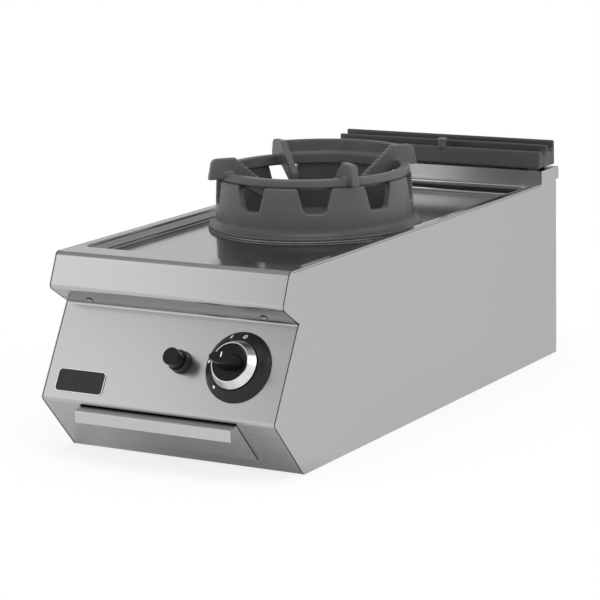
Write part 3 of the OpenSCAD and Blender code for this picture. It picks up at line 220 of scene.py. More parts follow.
def make_floor():
    """A pale floor that keeps the object's shadow and turns white further out."""
    mat, tree, bsdf = new_material("floor", FLOOR_COLOR, FLOOR_ROUGH, metallic=0.0)
    glow = tree.nodes.new("ShaderNodeEmission")
    glow.inputs["Color"].default_value = WHITE
    glow.inputs["Strength"].default_value = 1.0
    shown, mirrored = shown_rays(tree)
    point = object_point(tree)
    seen = ramp(tree, vector_node(tree, "LENGTH", point), *FLOOR_FADE, FLOOR_SHOWN, 1.0)
    # Mirrored rays don't see the glow where the object's shadows are
    shades = []
    for centre, squeeze, reach, depth in FLOOR_SHADES:
        off = vector_node(tree, "SUBTRACT", point, centre)
        away = vector_node(tree, "LENGTH", vector_node(tree, "MULTIPLY", off, squeeze))
        shades.append(ramp(tree, away, *reach, depth, 0.0))
    shade = math_node(tree, "MAXIMUM", *shades)
    kept = math_node(tree, "SUBTRACT", 1.0, math_node(tree, "MULTIPLY", shade, mirrored))
    share = math_node(tree, "MULTIPLY", math_node(tree, "MULTIPLY", shown, seen), kept)
    mix_shaders(tree, share, bsdf.outputs[0], glow.outputs[0], "Material Output")
    mesh = bpy.data.meshes.new("floor")
    corners = rectangle(-FLOOR_HALF, FLOOR_HALF, -FLOOR_HALF, FLOOR_HALF)
    mesh.from_pydata([(x, y, 0) for x, y in corners], [], [(0, 1, 2, 3)])
    mesh.materials.append(mat)
    linked("floor", mesh)


def new_material(name, color, rough, metallic):
    mat = bpy.data.materials.new(name)
    mat.use_nodes = True
    tree = mat.node_tree
    bsdf = tree.nodes["Principled BSDF"]
    bsdf.inputs["Base Color"].default_value = (*color, 1.0)
    bsdf.inputs["Roughness"].default_value = rough
    bsdf.inputs["Metallic"].default_value = metallic
    return mat, tree, bsdf


def scaled_point(tree, scale):
    """Where a point is on its object, scaled along each axis."""
    mapping = tree.nodes.new("ShaderNodeMapping")
    mapping.inputs["Scale"].default_value = scale
    tree.links.new(object_point(tree), mapping.inputs["Vector"])
    return mapping.outputs["Vector"]


def noise(tree, vector, scale, detail, rough):
    node = tree.nodes.new("ShaderNodeTexNoise")
    node.inputs["Scale"].default_value = scale
    node.inputs["Detail"].default_value = detail
    node.inputs["Roughness"].default_value = rough
    tree.links.new(vector, node.inputs["Vector"])
    return node.outputs["Fac"]


# The values between which most of a noise lies
NOISE_RANGE = (0.3, 0.7)


def remap(tree, value, low, high):
    """Spreads a noise between low and high."""
    return map_range(tree, value, "LINEAR", *NOISE_RANGE, low, high)


def mix_colors(tree, share, first, second):
    mix = tree.nodes.new("ShaderNodeMix")
    mix.data_type = "RGBA"
    sockets = [mix.inputs[name] for name in ("Factor", "A", "B")]
    feed(tree, sockets, (share, first, second))
    return mix.outputs["Result"]


def tint(tree, bsdf, value, dark, light):
    """Colours a material between two colours."""
    mixed = mix_colors(tree, value, (*dark, 1), (*light, 1))
    tree.links.new(mixed, bsdf.inputs["Base Color"])


def bump(tree, bsdf, value, distance, strength):
    node = tree.nodes.new("ShaderNodeBump")
    node.inputs["Distance"].default_value = distance
    node.inputs["Strength"].default_value = strength
    tree.links.new(value, node.inputs["Height"])
    tree.links.new(node.outputs["Normal"], bsdf.inputs["Normal"])


def shaded(color, k):
    return tuple(min(1.0, c * k) for c in color)


def along(tree, axis, start, stop, low, high):
    """A smooth step along an axis of the object."""
    return ramp(tree, split_axis(tree, object_point(tree), axis), start, stop, low, high)


# The colour of painted shade
PAINTED_SHADE_COLOR = (0.02, 0.02, 0.02, 1)


def add_painted_shade(tree, bsdf, steps):
    """Paints shade: darkens a material's colour by the product of smooth steps along axes."""
    unshaded_color = bsdf.inputs["Base Color"].links[0].from_socket
    share = 1.0
    for step in steps:
        share = math_node(tree, "MULTIPLY", along(tree, *step), share)
    tree.links.new(mix_colors(tree, share, unshaded_color, PAINTED_SHADE_COLOR), bsdf.inputs["Base Color"])


# What brushed steel mirrors at a glancing angle, and how far its grain and its clouds
# change its roughness
GLANCE = (0.72, 0.72, 0.72, 1)
GRAIN_ROUGH, CLOUD_ROUGH = 0.004, 0.01


def brushed(name, color, rough, grain, contrast, more_rough=None, painted_shade=None):
    """Brushed sheet steel whose grain runs along the axis where grain is small.

    more_rough adds roughness, and the last argument paints shade that darkens the colour, each
    along an axis.
    """
    mat, tree, bsdf = new_material(name, color, rough, metallic=1.0)
    bsdf.inputs["Specular Tint"].default_value = GLANCE
    lines = noise(tree, scaled_point(tree, grain), scale=1.0, detail=5.0, rough=0.7)
    cloud = noise(tree, object_point(tree), scale=3.0, detail=2.0, rough=0.5)
    dark, light = shaded(color, 1 - contrast), shaded(color, 1 + contrast)
    tint(tree, bsdf, remap(tree, lines, 0, 1), dark, light)
    line_rough = remap(tree, lines, rough - GRAIN_ROUGH, rough + GRAIN_ROUGH)
    cloud_rough = remap(tree, cloud, -CLOUD_ROUGH, CLOUD_ROUGH)
    sum_rough = math_node(tree, "ADD", line_rough, cloud_rough)
    if more_rough:
        sum_rough = math_node(tree, "ADD", sum_rough, along(tree, *more_rough))
    if painted_shade:
        add_painted_shade(tree, bsdf, painted_shade)
    tree.links.new(sum_rough, bsdf.inputs["Roughness"])
    bump(tree, bsdf, lines, distance=0.000001, strength=0.03)
    return mat


def cast(name, color, rough, painted_shade=None):
    """Enamelled cast iron: a fine pitted skin with soft clouds of tone."""
    mat, tree, bsdf = new_material(name, color, rough, metallic=0.0)
    bsdf.inputs["Specular IOR Level"].default_value = 0.5
    point = object_point(tree)
    skin = noise(tree, point, scale=700.0, detail=4.0, rough=0.65)
    cloud = noise(tree, point, scale=28.0, detail=3.0, rough=0.6)
    both = math_node(tree, "MULTIPLY", remap(tree, skin, 0.7, 1.1), remap(tree, cloud, 0.8, 1.0))
    tint(tree, bsdf, both, shaded(color, 0.35), shaded(color, 1.2))
    # Painted shade, darker along the given axes
    if painted_shade:
        add_painted_shade(tree, bsdf, painted_shade)
    tree.links.new(remap(tree, cloud, rough - 0.07, rough + 0.07), bsdf.inputs["Roughness"])
    bump(tree, bsdf, skin, distance=0.0003, strength=0.5)
    return mat


def moulded(name, color, rough, specular=0.3):
    """Moulded plastic with a faint grain."""
    mat, tree, bsdf = new_material(name, color, rough, metallic=0.0)
    bsdf.inputs["Specular IOR Level"].default_value = specular
    skin = noise(tree, object_point(tree), scale=1500.0, detail=3.0, rough=0.6)
    tint(tree, bsdf, remap(tree, skin, 0, 1), shaded(color, 0.85), shaded(color, 1.2))
    tree.links.new(remap(tree, skin, rough - 0.04, rough + 0.05), bsdf.inputs["Roughness"])
    bump(tree, bsdf, skin, distance=0.00004, strength=0.4)
    return mat


def metal(name, color, rough, grain=600.0, depth=0.00002):
    """Cast, drawn or plated metal with a fine uneven skin."""
    mat, tree, bsdf = new_material(name, color, rough, metallic=1.0)
    skin = noise(tree, object_point(tree), scale=grain, detail=3.0, rough=0.6)
    tint(tree, bsdf, remap(tree, skin, 0, 1), shaded(color, 0.85), shaded(color, 1.08))
    tree.links.new(remap(tree, skin, rough - 0.05, rough + 0.08), bsdf.inputs["Roughness"])
    bump(tree, bsdf, skin, distance=depth, strength=0.3)
    return mat


def turned(name, color, rough, centre, axis):
    """Metal turned on a lathe: broad changes of tone round the axis paint its sheen, and fine
    spokes are its grain.
    """
    mat, tree, bsdf = new_material(name, color, rough, metallic=1.0)
    off = vector_node(tree, "SUBTRACT", object_point(tree), centre)
    height = vector_node(tree, "PROJECT", off, axis)
    unit = vector_node(tree, "NORMALIZE", vector_node(tree, "SUBTRACT", off, height))
    wide = noise(tree, unit, scale=1.5, detail=2.0, rough=0.5)
    fine = noise(tree, unit, scale=22.0, detail=3.0, rough=0.7)
    # The broad noise paints sheen round the axis
    sheen_part = math_node(tree, "MULTIPLY", wide, 0.6)
    both = math_node(tree, "ADD", sheen_part, math_node(tree, "MULTIPLY", fine, 0.4))
    tint(tree, bsdf, remap(tree, both, 0, 1), shaded(color, 0.72), shaded(color, 1.25))
    tree.links.new(remap(tree, fine, rough - 0.03, rough + 0.05), bsdf.inputs["Roughness"])
    return mat


STEEL = (0.455, 0.463, 0.466)
RING_IRON = (0.080, 0.083, 0.086)
# The steel's grain as a scale along each axis: it runs where the scale is small
GRAIN_ACROSS = (9, 2600, 2600)
GRAIN_DEEP = (2600, 9, 2600)
GRAIN_SIDE = (60, 9, 2600)
# Changes along the object, each as axis, from, to, and the values there: the hob's folded
# front is rougher than its top, and painted shade darkens the riser's top under the grate
# and the ring's foot
SATIN_FRONT = ("Y", -0.418, -0.408, 0.14, 0.0)
SHADE_UNDER_GRATE = [("Y", 0.4095, 0.4115, 0.0, 1.0), ("Y", 0.4590, 0.4610, 1.0, 0.0)]
SHADE_AT_RING_FOOT = [("Z", 0.290, 0.335, 0.4, 0.0)]

side_steel = brushed("side_steel", shaded(STEEL, 1.04), 0.34, GRAIN_SIDE, 0.02)
front_steel = brushed("front_steel", STEEL, 0.27, GRAIN_ACROSS, 0.007)
# The riser's steel is a lit copy, half again as light as the rest: painted light. Its top under
# the grate gets painted shade
lit_riser_steel = brushed(
    "lit_riser_steel", shaded(STEEL, 1.55), 0.29, GRAIN_ACROSS, 0.02, painted_shade=SHADE_UNDER_GRATE
)
# The tray front's steel is a lit copy, a little lighter than the rest: painted light
lit_tray_steel = brushed("lit_tray_steel", shaded(STEEL, 1.12), 0.36, GRAIN_ACROSS, 0.01)
hob_steel = brushed("hob_steel", STEEL, 0.13, GRAIN_DEEP, 0.02, more_rough=SATIN_FRONT)
plated = metal("plated", (0.44, 0.45, 0.465), 0.42, grain=90.0)
screw_steel = metal("screw_steel", (0.60, 0.60, 0.60), 0.25)
# Painted shade darkens the ring's iron towards its foot
ring_iron = cast("ring_iron", RING_IRON, 0.44, painted_shade=SHADE_AT_RING_FOOT)
top_iron = cast("top_iron", RING_IRON, 0.44)
# A light metal that paints the highlight on the ring's foot edge
highlight_iron = metal("highlight_iron", (0.34, 0.345, 0.35), 0.36, grain=160.0, depth=0.0004)
grate_iron = cast("grate_iron", (0.040, 0.0405, 0.0415), 0.5)
brass = metal("brass", (0.55, 0.38, 0.16), 0.32)
aluminium = metal("aluminium", (0.58, 0.58, 0.59), 0.32)
copper = metal("copper", (0.58, 0.30, 0.18), 0.3)
knob_black = moulded("knob_black", (0.012, 0.012, 0.013), 0.34)
knob_silver = metal("knob_silver", (0.66, 0.66, 0.66), 0.2, grain=300.0)
trim_silver = turned("trim_silver", (0.70, 0.70, 0.70), 0.2, KNOB_AT, PANEL_OUT)
grip_black = moulded("grip_black", (0.006, 0.006, 0.0065), 0.22, specular=0.18)
# Also the black of the painted shade in gaps, seams, joints and the ring's foot groove
lead_black = moulded("lead_black", (0.015, 0.015, 0.015), 0.5)
electrode_white = moulded("electrode_white", (0.75, 0.73, 0.68), 0.2)
mark_white = moulded("mark_white", (0.92, 0.92, 0.92), 0.45)
plate_black = moulded("plate_black", (0.012, 0.012, 0.013), 0.28)

BY_SLOT = {
    "casing_steel": front_steel,
    "plated_steel": plated,
    "screw_steel": screw_steel,
    "ring_iron": ring_iron,
    "grate_iron": grate_iron,
    "burner_brass": brass,
    "pipe_aluminium": aluminium,
    "lead_copper": copper,
    "knob_black": knob_black,
    "knob_silver": knob_silver,
    "lead_black": lead_black,
    "electrode_white": electrode_white,
}
BY_NODE = {
    "side_panel_left": side_steel,
    "side_panel_right": side_steel,
    "hob_top": hob_steel,
    "flue_riser": lit_riser_steel,
    "tray_front": lit_tray_steel,
    "wok_ring_top": top_iron,
    "knob_trim_ring": trim_silver,
    "igniter_button": grip_black,
    "knob_grip": grip_black,
}
SLOT_OF = {part["node"]: part["material_slot"] for part in frame["record"]["subparts"]}
BODY_OF = {
    node: body
    for body, members in frame["record"]["behaviour"]["bodies"].items()
    for node in members
}


def look_of(node):
    return BY_NODE.get(node, BY_SLOT[SLOT_OF[node]])


def dress(obj, mat):
    obj.data.materials.clear()
    obj.data.materials.append(mat)
    for poly in obj.data.polygons:
        poly.material_index = 0


# Faces that meet at less than this many degrees are shaded as one, and corners that are
# closer than this many metres are one. Large faces outweigh small ones by so much
SHARP_ANGLE = 26
WELD = 0.000002
FACE_WEIGHT = 100


def angle_group():
    """Geometry nodes that shade a mesh smooth up to an angle between its faces."""
    tree = bpy.data.node_groups.new("shade_by_angle", "GeometryNodeTree")
    tree.interface.new_socket("Geometry", in_out="INPUT", socket_type="NodeSocketGeometry")
    tree.interface.new_socket("Geometry", in_out="OUTPUT", socket_type="NodeSocketGeometry")
    start = tree.nodes.new("NodeGroupInput")
    end = tree.nodes.new("NodeGroupOutput")
    bare = tree.nodes.new("GeometryNodeRemoveAttribute")
    bare.inputs["Name"].default_value = "custom_normal"
    weld = tree.nodes.new("GeometryNodeMergeByDistance")
    weld.inputs["Distance"].default_value = WELD
    faces = tree.nodes.new("GeometryNodeSetShadeSmooth")
    edges = tree.nodes.new("GeometryNodeSetShadeSmooth")
    edges.domain = "EDGE"
    edges.inputs["Shade Smooth"].default_value = False
    angle = tree.nodes.new("GeometryNodeInputMeshEdgeAngle")
    steep = tree.nodes.new("FunctionNodeCompare")
    steep.operation = "GREATER_THAN"
    steep.inputs["B"].default_value = math.radians(SHARP_ANGLE)
    tree.links.new(angle.outputs["Unsigned Angle"], steep.inputs["A"])
    tree.links.new(steep.outputs["Result"], edges.inputs["Selection"])
    chain = [start, bare, weld, faces, edges, end]
    for a, b in zip(chain, chain[1:]):
        tree.links.new(a.outputs[0], b.inputs[0])
    return tree


by_angle = angle_group()


def soften(obj):
    """Makes bends and turned faces catch the light as smooth ones."""
    obj.modifiers.new("by_angle", "NODES").node_group = by_angle
    even = obj.modifiers.new("even", "WEIGHTED_NORMAL")
    even.keep_sharp = True
    even.weight = FACE_WEIGHT


def new_piece(name, mesh, mat, body):
    piece = linked(name, mesh)
    dress(piece, mat)
    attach(piece, body)
    return piece


def stand_in(node, name, mesh):
    """A piece with a CAD node's looks and body, shown in the node's place."""
    piece = new_piece(name, mesh, look_of(node), BODY_OF[node])
    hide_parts(node)
    return piece


def applied(work, name):
    """The mesh of a work object with its modifiers applied. The object itself goes."""
    bpy.context.view_layer.update()
    graph = bpy.context.evaluated_depsgraph_get()
    mesh = bpy.data.meshes.new_from_object(work.evaluated_get(graph))
    mesh.name = name
    bpy.data.objects.remove(work)
    return mesh


def finished(bm, name):
    """Turns a bmesh into a mesh with its faces outward."""
    bmesh.ops.recalc_face_normals(bm, faces=bm.faces)
    mesh = bpy.data.meshes.new(name)
    bm.to_mesh(mesh)
    bm.free()
    return mesh


def frame_at(at, x_axis, y_axis, z_axis):
    turn = Matrix((x_axis, y_axis, z_axis)).transposed().to_4x4()
    return Matrix.Translation(at) @ turn


def raised(bm, outline, height, place):
    """Corners of an outline at a height, put in place by a matrix."""
    return [bm.verts.new(place @ Vector((x * MM, y * MM, height * MM))) for x, y in outline]


def slab(bm, outline, low, high, place):
    """A closed slab between two heights over an outline."""
    under, over = raised(bm, outline, low, place), raised(bm, outline, high, place)
    bm.faces.new(over)
    bm.faces.new(list(reversed(under)))
    count = len(outline)
    for i in range(count):
        j = (i + 1) % count
        bm.faces.new((under[i], under[j], over[j], over[i]))


def band(bm, outer, inner, low, high, place):
    """A closed ring between two heights and two outlines with as many points each."""
    out_low, out_high = raised(bm, outer, low, place), raised(bm, outer, high, place)
    in_low, in_high = raised(bm, inner, low, place), raised(bm, inner, high, place)
    count = len(outer)
    for i in range(count):
        j = (i + 1) % count
        bm.faces.new((out_low[i], out_low[j], out_high[j], out_high[i]))
        bm.faces.new((in_low[j], in_low[i], in_high[i], in_high[j]))
        bm.faces.new((out_high[i], out_high[j], in_high[j], in_high[i]))
        bm.faces.new((out_low[j], out_low[i], in_low[i], in_low[j]))


def spun(bm, outline, angle):
    """Corners of an outline of radius and height, at an angle round the vertical axis."""
    ca, sa = math.cos(angle), math.sin(angle)
    return [bm.verts.new((r * MM * ca, r * MM * sa, z * MM)) for r, z in outline]


def skin_between(bm, a, b):
    """The faces between two loops with as many corners each."""
    for j in range(len(a)):
        k = (j + 1) % len(a)
        bm.faces.new((a[j], b[j], b[k], a[k]))


def rectangle(left, right, low, high):
    return [(left, low), (right, low), (right, high), (left, high)]


OVAL_POINTS = 28
CORNER_STEPS = 6


def oval(half_w, half_h):
    turn = 2 * math.pi / OVAL_POINTS
    return [(half_w * math.cos(turn * i), half_h * math.sin(turn * i)) for i in range(OVAL_POINTS)]


def round_box(w, h, r):
    """Outline of a rectangle w by h with corners of radius r."""
    line = []
    for cx, cy, start in ((1, 1, 0), (-1, 1, 90), (-1, -1, 180), (1, -1, 270)):
        for i in range(CORNER_STEPS + 1):
            q = math.radians(start + 90 * i / CORNER_STEPS)
            line.append((cx * (w / 2 - r) + r * math.cos(q), cy * (h / 2 - r) + r * math.sin(q)))
    return line


# How the edges of castings are smoothed after their remesh
CAST_FACTOR, CAST_PASSES = 0.5, 3
# The ring's wall at the closed notch as radius and height, and the angles that it spans
WALL = [(142.3, 318), (154.3, 318), (152.5, 361.5), (151.8, 363.0), (150.5, 363.5), (140.5, 363.5)]
WALL_FROM, WALL_TO, WALL_STEPS = 88.0, 113.5, 10


def closed_notch():
    """The wall that closes the notch behind the rear guard."""
    bm = bmesh.new()
    loops = []
    for i in range(WALL_STEPS + 1):
        angle = math.radians(WALL_FROM + (WALL_TO - WALL_FROM) * i / WALL_STEPS)
        loops.append(spun(bm, WALL, angle))
    for a, b in zip(loops, loops[1:]):
        skin_between(bm, a, b)
    bm.faces.new(loops[0])
    bm.faces.new(list(reversed(loops[-1])))
    return finished(bm, "closed_notch")


def cast_copy(node, voxel, filled=None):
    """A copy of a cast node, and of what fills it, with the soft edges of a casting.

    The copy is remeshed in voxels of that many metres.
    """
    bm = bmesh.new()
    bm.from_mesh(nodes[node].data)
    if filled:
        bm.from_mesh(filled)
    solid = bpy.data.meshes.new(node + "_work")
    bm.to_mesh(solid)
    bm.free()
    work = linked(node + "_work", solid)
    remesh = work.modifiers.new("remesh", "REMESH")
    remesh.mode = "VOXEL"
    remesh.voxel_size = voxel
    smooth = work.modifiers.new("smooth", "SMOOTH")
    smooth.factor = CAST_FACTOR
    smooth.iterations = CAST_PASSES
    mesh = applied(work, node + "_casting")
    mesh.shade_smooth()
    stand_in(node, mesh.name, mesh)


RING_STEPS = 128
# The ring's foot as radius and height: an edge of light metal that paints its highlight, and
# the black band of painted shade in the groove above it
FOOT_EDGE = [
    (164, 283.2), (166.2, 283.1), (167.0, 283.9), (167.0, 285.5), (166.3, 286.0), (164, 286.0),
]
FOOT_GROOVE_SHADE = [(164, 286.0), (166.8, 286.0), (166.8, 287.0), (164, 287.0)]


def turned_band(name, outline, mat, body):
    """A ring about the vertical axis from an outline of radius and height."""
    bm = bmesh.new()
    loops = [spun(bm, outline, 2 * math.pi * i / RING_STEPS) for i in range(RING_STEPS)]
    for a, b in zip(loops, loops[1:] + loops[:1]):
        skin_between(bm, a, b)
    soften(new_piece(name, finished(bm, name), mat, body))


# The bezel's slope round the knob: its lower and upper edge as radius and height
CREST = (46.75, 8.4)
WELL = (39.5, 14.0)
# Marks on it: their radius, how deep they sink in and stand out, their outlines, and
# their angles in degrees, clockwise from the top
MARK_R = 43.2
MARK_LOW, MARK_HIGH = -0.15, 0.25
ZERO_OUTER, ZERO_INNER, ZERO_ANGLE = (2.9, 4.2), (1.3, 2.4), 8
SPARK = [(-0.2, 4.0), (2.4, 4.0), (0.9, 1.0), (2.4, 1.0), (-1.8, -4.0), (-0.6, -0.5), (-2.3, -0.5)]
SPARK_ANGLE = -22
# A flame of height 1 whose tip bends to one side, and each flame's height and angle
FLAME = [
    (0.0, -0.5), (0.26, -0.40), (0.36, -0.15), (0.27, 0.08), (0.12, 0.26), (0.10, 0.5),
    (-0.12, 0.30), (-0.24, 0.12), (-0.34, -0.12), (-0.27, -0.38),
]
FLAMES = [(7.6, -88), (6.4, -144)]


def dial_place(degrees):
    """Frame of a mark on the bezel's slope, with its y axis outward along the slope."""
    q = math.radians(degrees)
    spoke = math.sin(q) * AXIS_X + math.cos(q) * PANEL_UP
    around = math.cos(q) * AXIS_X - math.sin(q) * PANEL_UP
    run, rise = CREST[0] - WELL[0], CREST[1] - WELL[1]
    long = math.hypot(run, rise)
    outward = spoke * (run / long) + PANEL_OUT * (rise / long)
    height = CREST[1] + (MARK_R - CREST[0]) * rise / run
    at = KNOB_AT + (spoke * MARK_R + PANEL_OUT * height) * MM
    return frame_at(at, around, outward, around.cross(outward))


def dial_marks():
    bm = bmesh.new()
    zero_at = dial_place(ZERO_ANGLE)
    band(bm, oval(*ZERO_OUTER), oval(*ZERO_INNER), MARK_LOW, MARK_HIGH, zero_at)
    slab(bm, SPARK, MARK_LOW, MARK_HIGH, dial_place(SPARK_ANGLE))
    for size, degrees in FLAMES:
        flame = [(x * size, y * size) for x, y in FLAME]
        slab(bm, flame, MARK_LOW, MARK_HIGH, dial_place(degrees))
    new_piece("dial_marks", finished(bm, "dial_marks"), mark_white, "casing")


# Height of the grip's end above the panel, and the line on it, from the knob's axis up
GRIP_END = 53.0
LINE_W, LINE_LONG = 1.8, 7.0
LINE_SUNK, LINE_PROUD = 0.2, 0.12


def grip_line():
    bm = bmesh.new()
    place = frame_at(KNOB_AT, AXIS_X, PANEL_UP, PANEL_OUT)
    line = rectangle(-LINE_W / 2, LINE_W / 2, 0.0, LINE_LONG)
    slab(bm, line, GRIP_END - LINE_SUNK, GRIP_END + LINE_PROUD, place)
    new_piece("grip_line", finished(bm, "grip_line"), mark_white, "knob")


# A blank plate where such ranges carry their maker's: its centre across the panel and up
# it, where the knob's is at KNOB_UP, its size, corners, raised rim and sunk face
PLATE_X, PLATE_UP, KNOB_UP = -138.5, 30.5, 78.0
PLATE_W, PLATE_H, PLATE_T, PLATE_R = 84.0, 36.0, 1.2, 7.0
RIM_W, RIM_EDGE, RIM_SEGMENTS = 1.6, 0.3, 2
FACE_SUNK = 0.4


def blank_plate():
    up = PANEL_UP * ((PLATE_UP - KNOB_UP) * MM)
    at = KNOB_AT + up + AXIS_X * (PLATE_X * MM - KNOB_AT.x)
    place = frame_at(at, AXIS_X, PANEL_UP, PANEL_OUT)
    outer = round_box(PLATE_W, PLATE_H, PLATE_R)
    step = round_box(PLATE_W - 2 * RIM_W, PLATE_H - 2 * RIM_W, PLATE_R - RIM_W)
    bm = bmesh.new()
    band(bm, outer, step, 0.0, PLATE_T, place)
    rim_mesh = finished(bm, "blank_plate_rim")
    rim = new_piece("blank_plate_rim", rim_mesh, knob_silver, "casing")
    edge = rim.modifiers.new("edge", "BEVEL")
    edge.width = RIM_EDGE * MM
    edge.segments = RIM_SEGMENTS
    bm = bmesh.new()
    slab(bm, step, 0.0, PLATE_T - FACE_SUNK, place)
    new_piece("blank_plate", finished(bm, "blank_plate"), plate_black, "casing")


# Decimals to which the middles of loose parts are compared, to put the parts in order
SAME_PLACE = 4


def islands(mesh):
    """Corner points of each loose part of a mesh, in a fixed order of their middles."""
    bm = bmesh.new()
    bm.from_mesh(mesh)
    bmesh.ops.remove_doubles(bm, verts=bm.verts, dist=WELD)
    left = set(bm.verts)
    found = []
    while left:
        todo = [left.pop()]
        part = []
        while todo:
            vert = todo.pop()
            part.append(vert.co.copy())
            for edge in vert.link_edges:
                other = edge.other_vert(vert)
                if other in left:
                    left.remove(other)
                    todo.append(other)
        found.append(part)
    bm.free()

    def middle(part):
        return tuple(round(c, SAME_PLACE) for c in sum(part, Vector()) / len(part))

    return sorted(found, key=middle)


def carved(node, name, cutter_mesh):
    """A copy of a CAD node less a cutter, in the node's place."""
    cutter = linked(name + "_cutter", cutter_mesh)
    work = linked(name + "_work", nodes[node].data.copy())
    weld = work.modifiers.new("weld", "WELD")
    weld.merge_threshold = WELD
    cut = work.modifiers.new("cut", "BOOLEAN")
    cut.operation = "DIFFERENCE"
    cut.solver = "EXACT"
    cut.use_self = True
    cut.object = cutter
    mesh = applied(work, name)
    bpy.data.objects.remove(cutter)
    soften(stand_in(node, name, mesh))


# A cross recess: half its length, the width of a slot, and its depth
SLOT_HALF, SLOT_W, SLOT_DEEP = 2.3, 0.9, 1.3
# The black ring of painted shade in the gap round a screw: its width, its lap under the head,
# and its height over the sheet's flange
GAP_W, GAP_LAP, GAP_RISE = 0.9, 0.1, 0.35


def screw_heads(node, out, side, up):
    """The middle of each head's top among a node's screws, and the head's radius."""
    for part in islands(nodes[node].data):
        top = max(p.dot(out) for p in part)
        spans = []
        for way in (side, up):
            reach = [p.dot(way) for p in part]
            spans.append((min(reach), max(reach)))
        x, y = (sum(span) / 2 for span in spans)
        yield out * top + side * x + up * y, (spans[0][1] - spans[0][0]) / 2


def cross_recess(node, out, side):
    """The node's screws with a cross recess cut in each head."""
    up = out.cross(side)
    slot = rectangle(-SLOT_HALF, SLOT_HALF, -SLOT_W / 2, SLOT_W / 2)
    bm = bmesh.new()
    for at, _ in screw_heads(node, out, side, up):
        slab(bm, slot, -SLOT_DEEP, SLOT_DEEP, frame_at(at, side, up, out))
        slab(bm, slot, -SLOT_DEEP, SLOT_DEEP, frame_at(at, up, -side, out))
    carved(node, node + "_crossed", finished(bm, node + "_cutter"))


def screw_gap_shades(node, out, side, sheet):
    """A black ring of painted shade round each of the node's screws, on a sheet through a given
    point.
    """
    up = out.cross(side)
    bm = bmesh.new()
    for at, radius in screw_heads(node, out, side, up):
        height = (at - sheet).dot(out)
        place = frame_at(at - out * height, side, up, out)
        wide, narrow = radius / MM + GAP_W, radius / MM - GAP_LAP
        band(bm, oval(wide, wide), oval(narrow, narrow), 0.0, FLANGE_T + GAP_RISE, place)
    name = node + "_gaps"
    new_piece(name, finished(bm, name), lead_black, BODY_OF[node])


# The casing's front profile as depth and height, and the radius of its outer bends
PROFILE = [(-388.5, 0), (-465, 88), (-392, 219), (-434.5, 247), (-413, 297), (300, 297)]
BENDS = {1: 7.0, 3: 8.0, 4: 9.0}
ARC_STEPS = 8
# How far the cutters that round the side panels' corners reach outside them, and across
CUT_PAST = 3.0
CUT_ACROSS = {"side_panel_left": (-201, -190), "side_panel_right": (190, 201)}
# The frame of outlines of depth and height, which slabs carry across the width
ACROSS = frame_at(ORIGIN, AXIS_Y, AXIS_Z, AXIS_X)


def corner_arc(i):
    """Points of the arc that rounds a bend of the profile.

    Also unit vectors from the bend inward, and outward at the arc's two ends.
    """
    corner = Vector(PROFILE[i])
    to_a = (Vector(PROFILE[i - 1]) - corner).normalized()
    to_b = (Vector(PROFILE[i + 1]) - corner).normalized()
    half = to_a.angle(to_b) / 2
    reach = BENDS[i] / math.tan(half)
    inward = (to_a + to_b).normalized()
    centre = corner + inward * (BENDS[i] / math.sin(half))
    start, stop = corner + to_a * reach - centre, corner + to_b * reach - centre
    turn = start.angle_signed(stop)
    arc = []
    for step in range(ARC_STEPS + 1):
        q = -turn * step / ARC_STEPS
        ca, sa = math.cos(q), math.sin(q)
        arc.append(centre + Vector((start.x * ca - start.y * sa, start.x * sa + start.y * ca)))
    return arc, inward, start.normalized(), stop.normalized()


def rounded_side(node):
    """A side panel whose front corners follow the bends of the sheets beside it."""
    bm = bmesh.new()
    for i in BENDS:
        arc, inward, start, stop = corner_arc(i)
        outside = [arc[-1] + stop, Vector(PROFILE[i]) - inward * CUT_PAST, arc[0] + start]
        slab(bm, [tuple(v) for v in arc + outside], *CUT_ACROSS[node], ACROSS)
    carved(node, node + "_rounded", finished(bm, node + "_cutter"))


def both_sides(name, outline, reach):
    """Black trim of painted shade at the right side of the casing, and its mirror image at the
    left.
    """
    bm = bmesh.new()
    low, high = reach
    slab(bm, outline, low, high, ACROSS)
    slab(bm, outline, -high, -low, ACROSS)
    new_piece(name, finished(bm, name), lead_black, "casing")


# The black strip of painted shade along the seam between the front's sheets and each side
# panel: where it is across, and how far it reaches out of the profile and into it
SEAM_X = (197.3, 198.6)
SEAM_OUT, SEAM_IN = 0.2, 0.6
# The share of the lowest slope that it leaves free, to clear the floor, and how far it
# runs on over the hob
SEAM_CLEAR = 0.01
SEAM_TAIL = 2.0


def front_seam_shades():
    path = [Vector(PROFILE[0]).lerp(Vector(PROFILE[1]), SEAM_CLEAR)]
    for i in range(1, len(PROFILE) - 1):
        path += corner_arc(i)[0] if i in BENDS else [Vector(PROFILE[i])]
    path.append(path[-1] + Vector((SEAM_TAIL, 0.0)))
    ways = [(b - a).normalized() for a, b in zip(path, path[1:])]
    outs = [Vector((-w.y, w.x)) for w in [ways[0]] + ways]
    nexts = outs[1:] + [outs[-1]]
    normals = [(a + b) / (1 + a.dot(b)) for a, b in zip(outs, nexts)]
    outer = [p + n * SEAM_OUT for p, n in zip(path, normals)]
    inner = [p - n * SEAM_IN for p, n in zip(path, normals)]
    both_sides("front_seam_shades", [tuple(v) for v in outer + inner[::-1]], SEAM_X)


# The black strip of painted shade along the joint between the hob's edge and each side panel:
# across, along and up
JOINT_X = (199.8, 200.15)
JOINT_Y = (-405.0, 408.0)
JOINT_Z = (294.2, 294.9)


def edge_joint_shades():
    both_sides("edge_joint_shades", rectangle(*JOINT_Y, *JOINT_Z), JOINT_X)


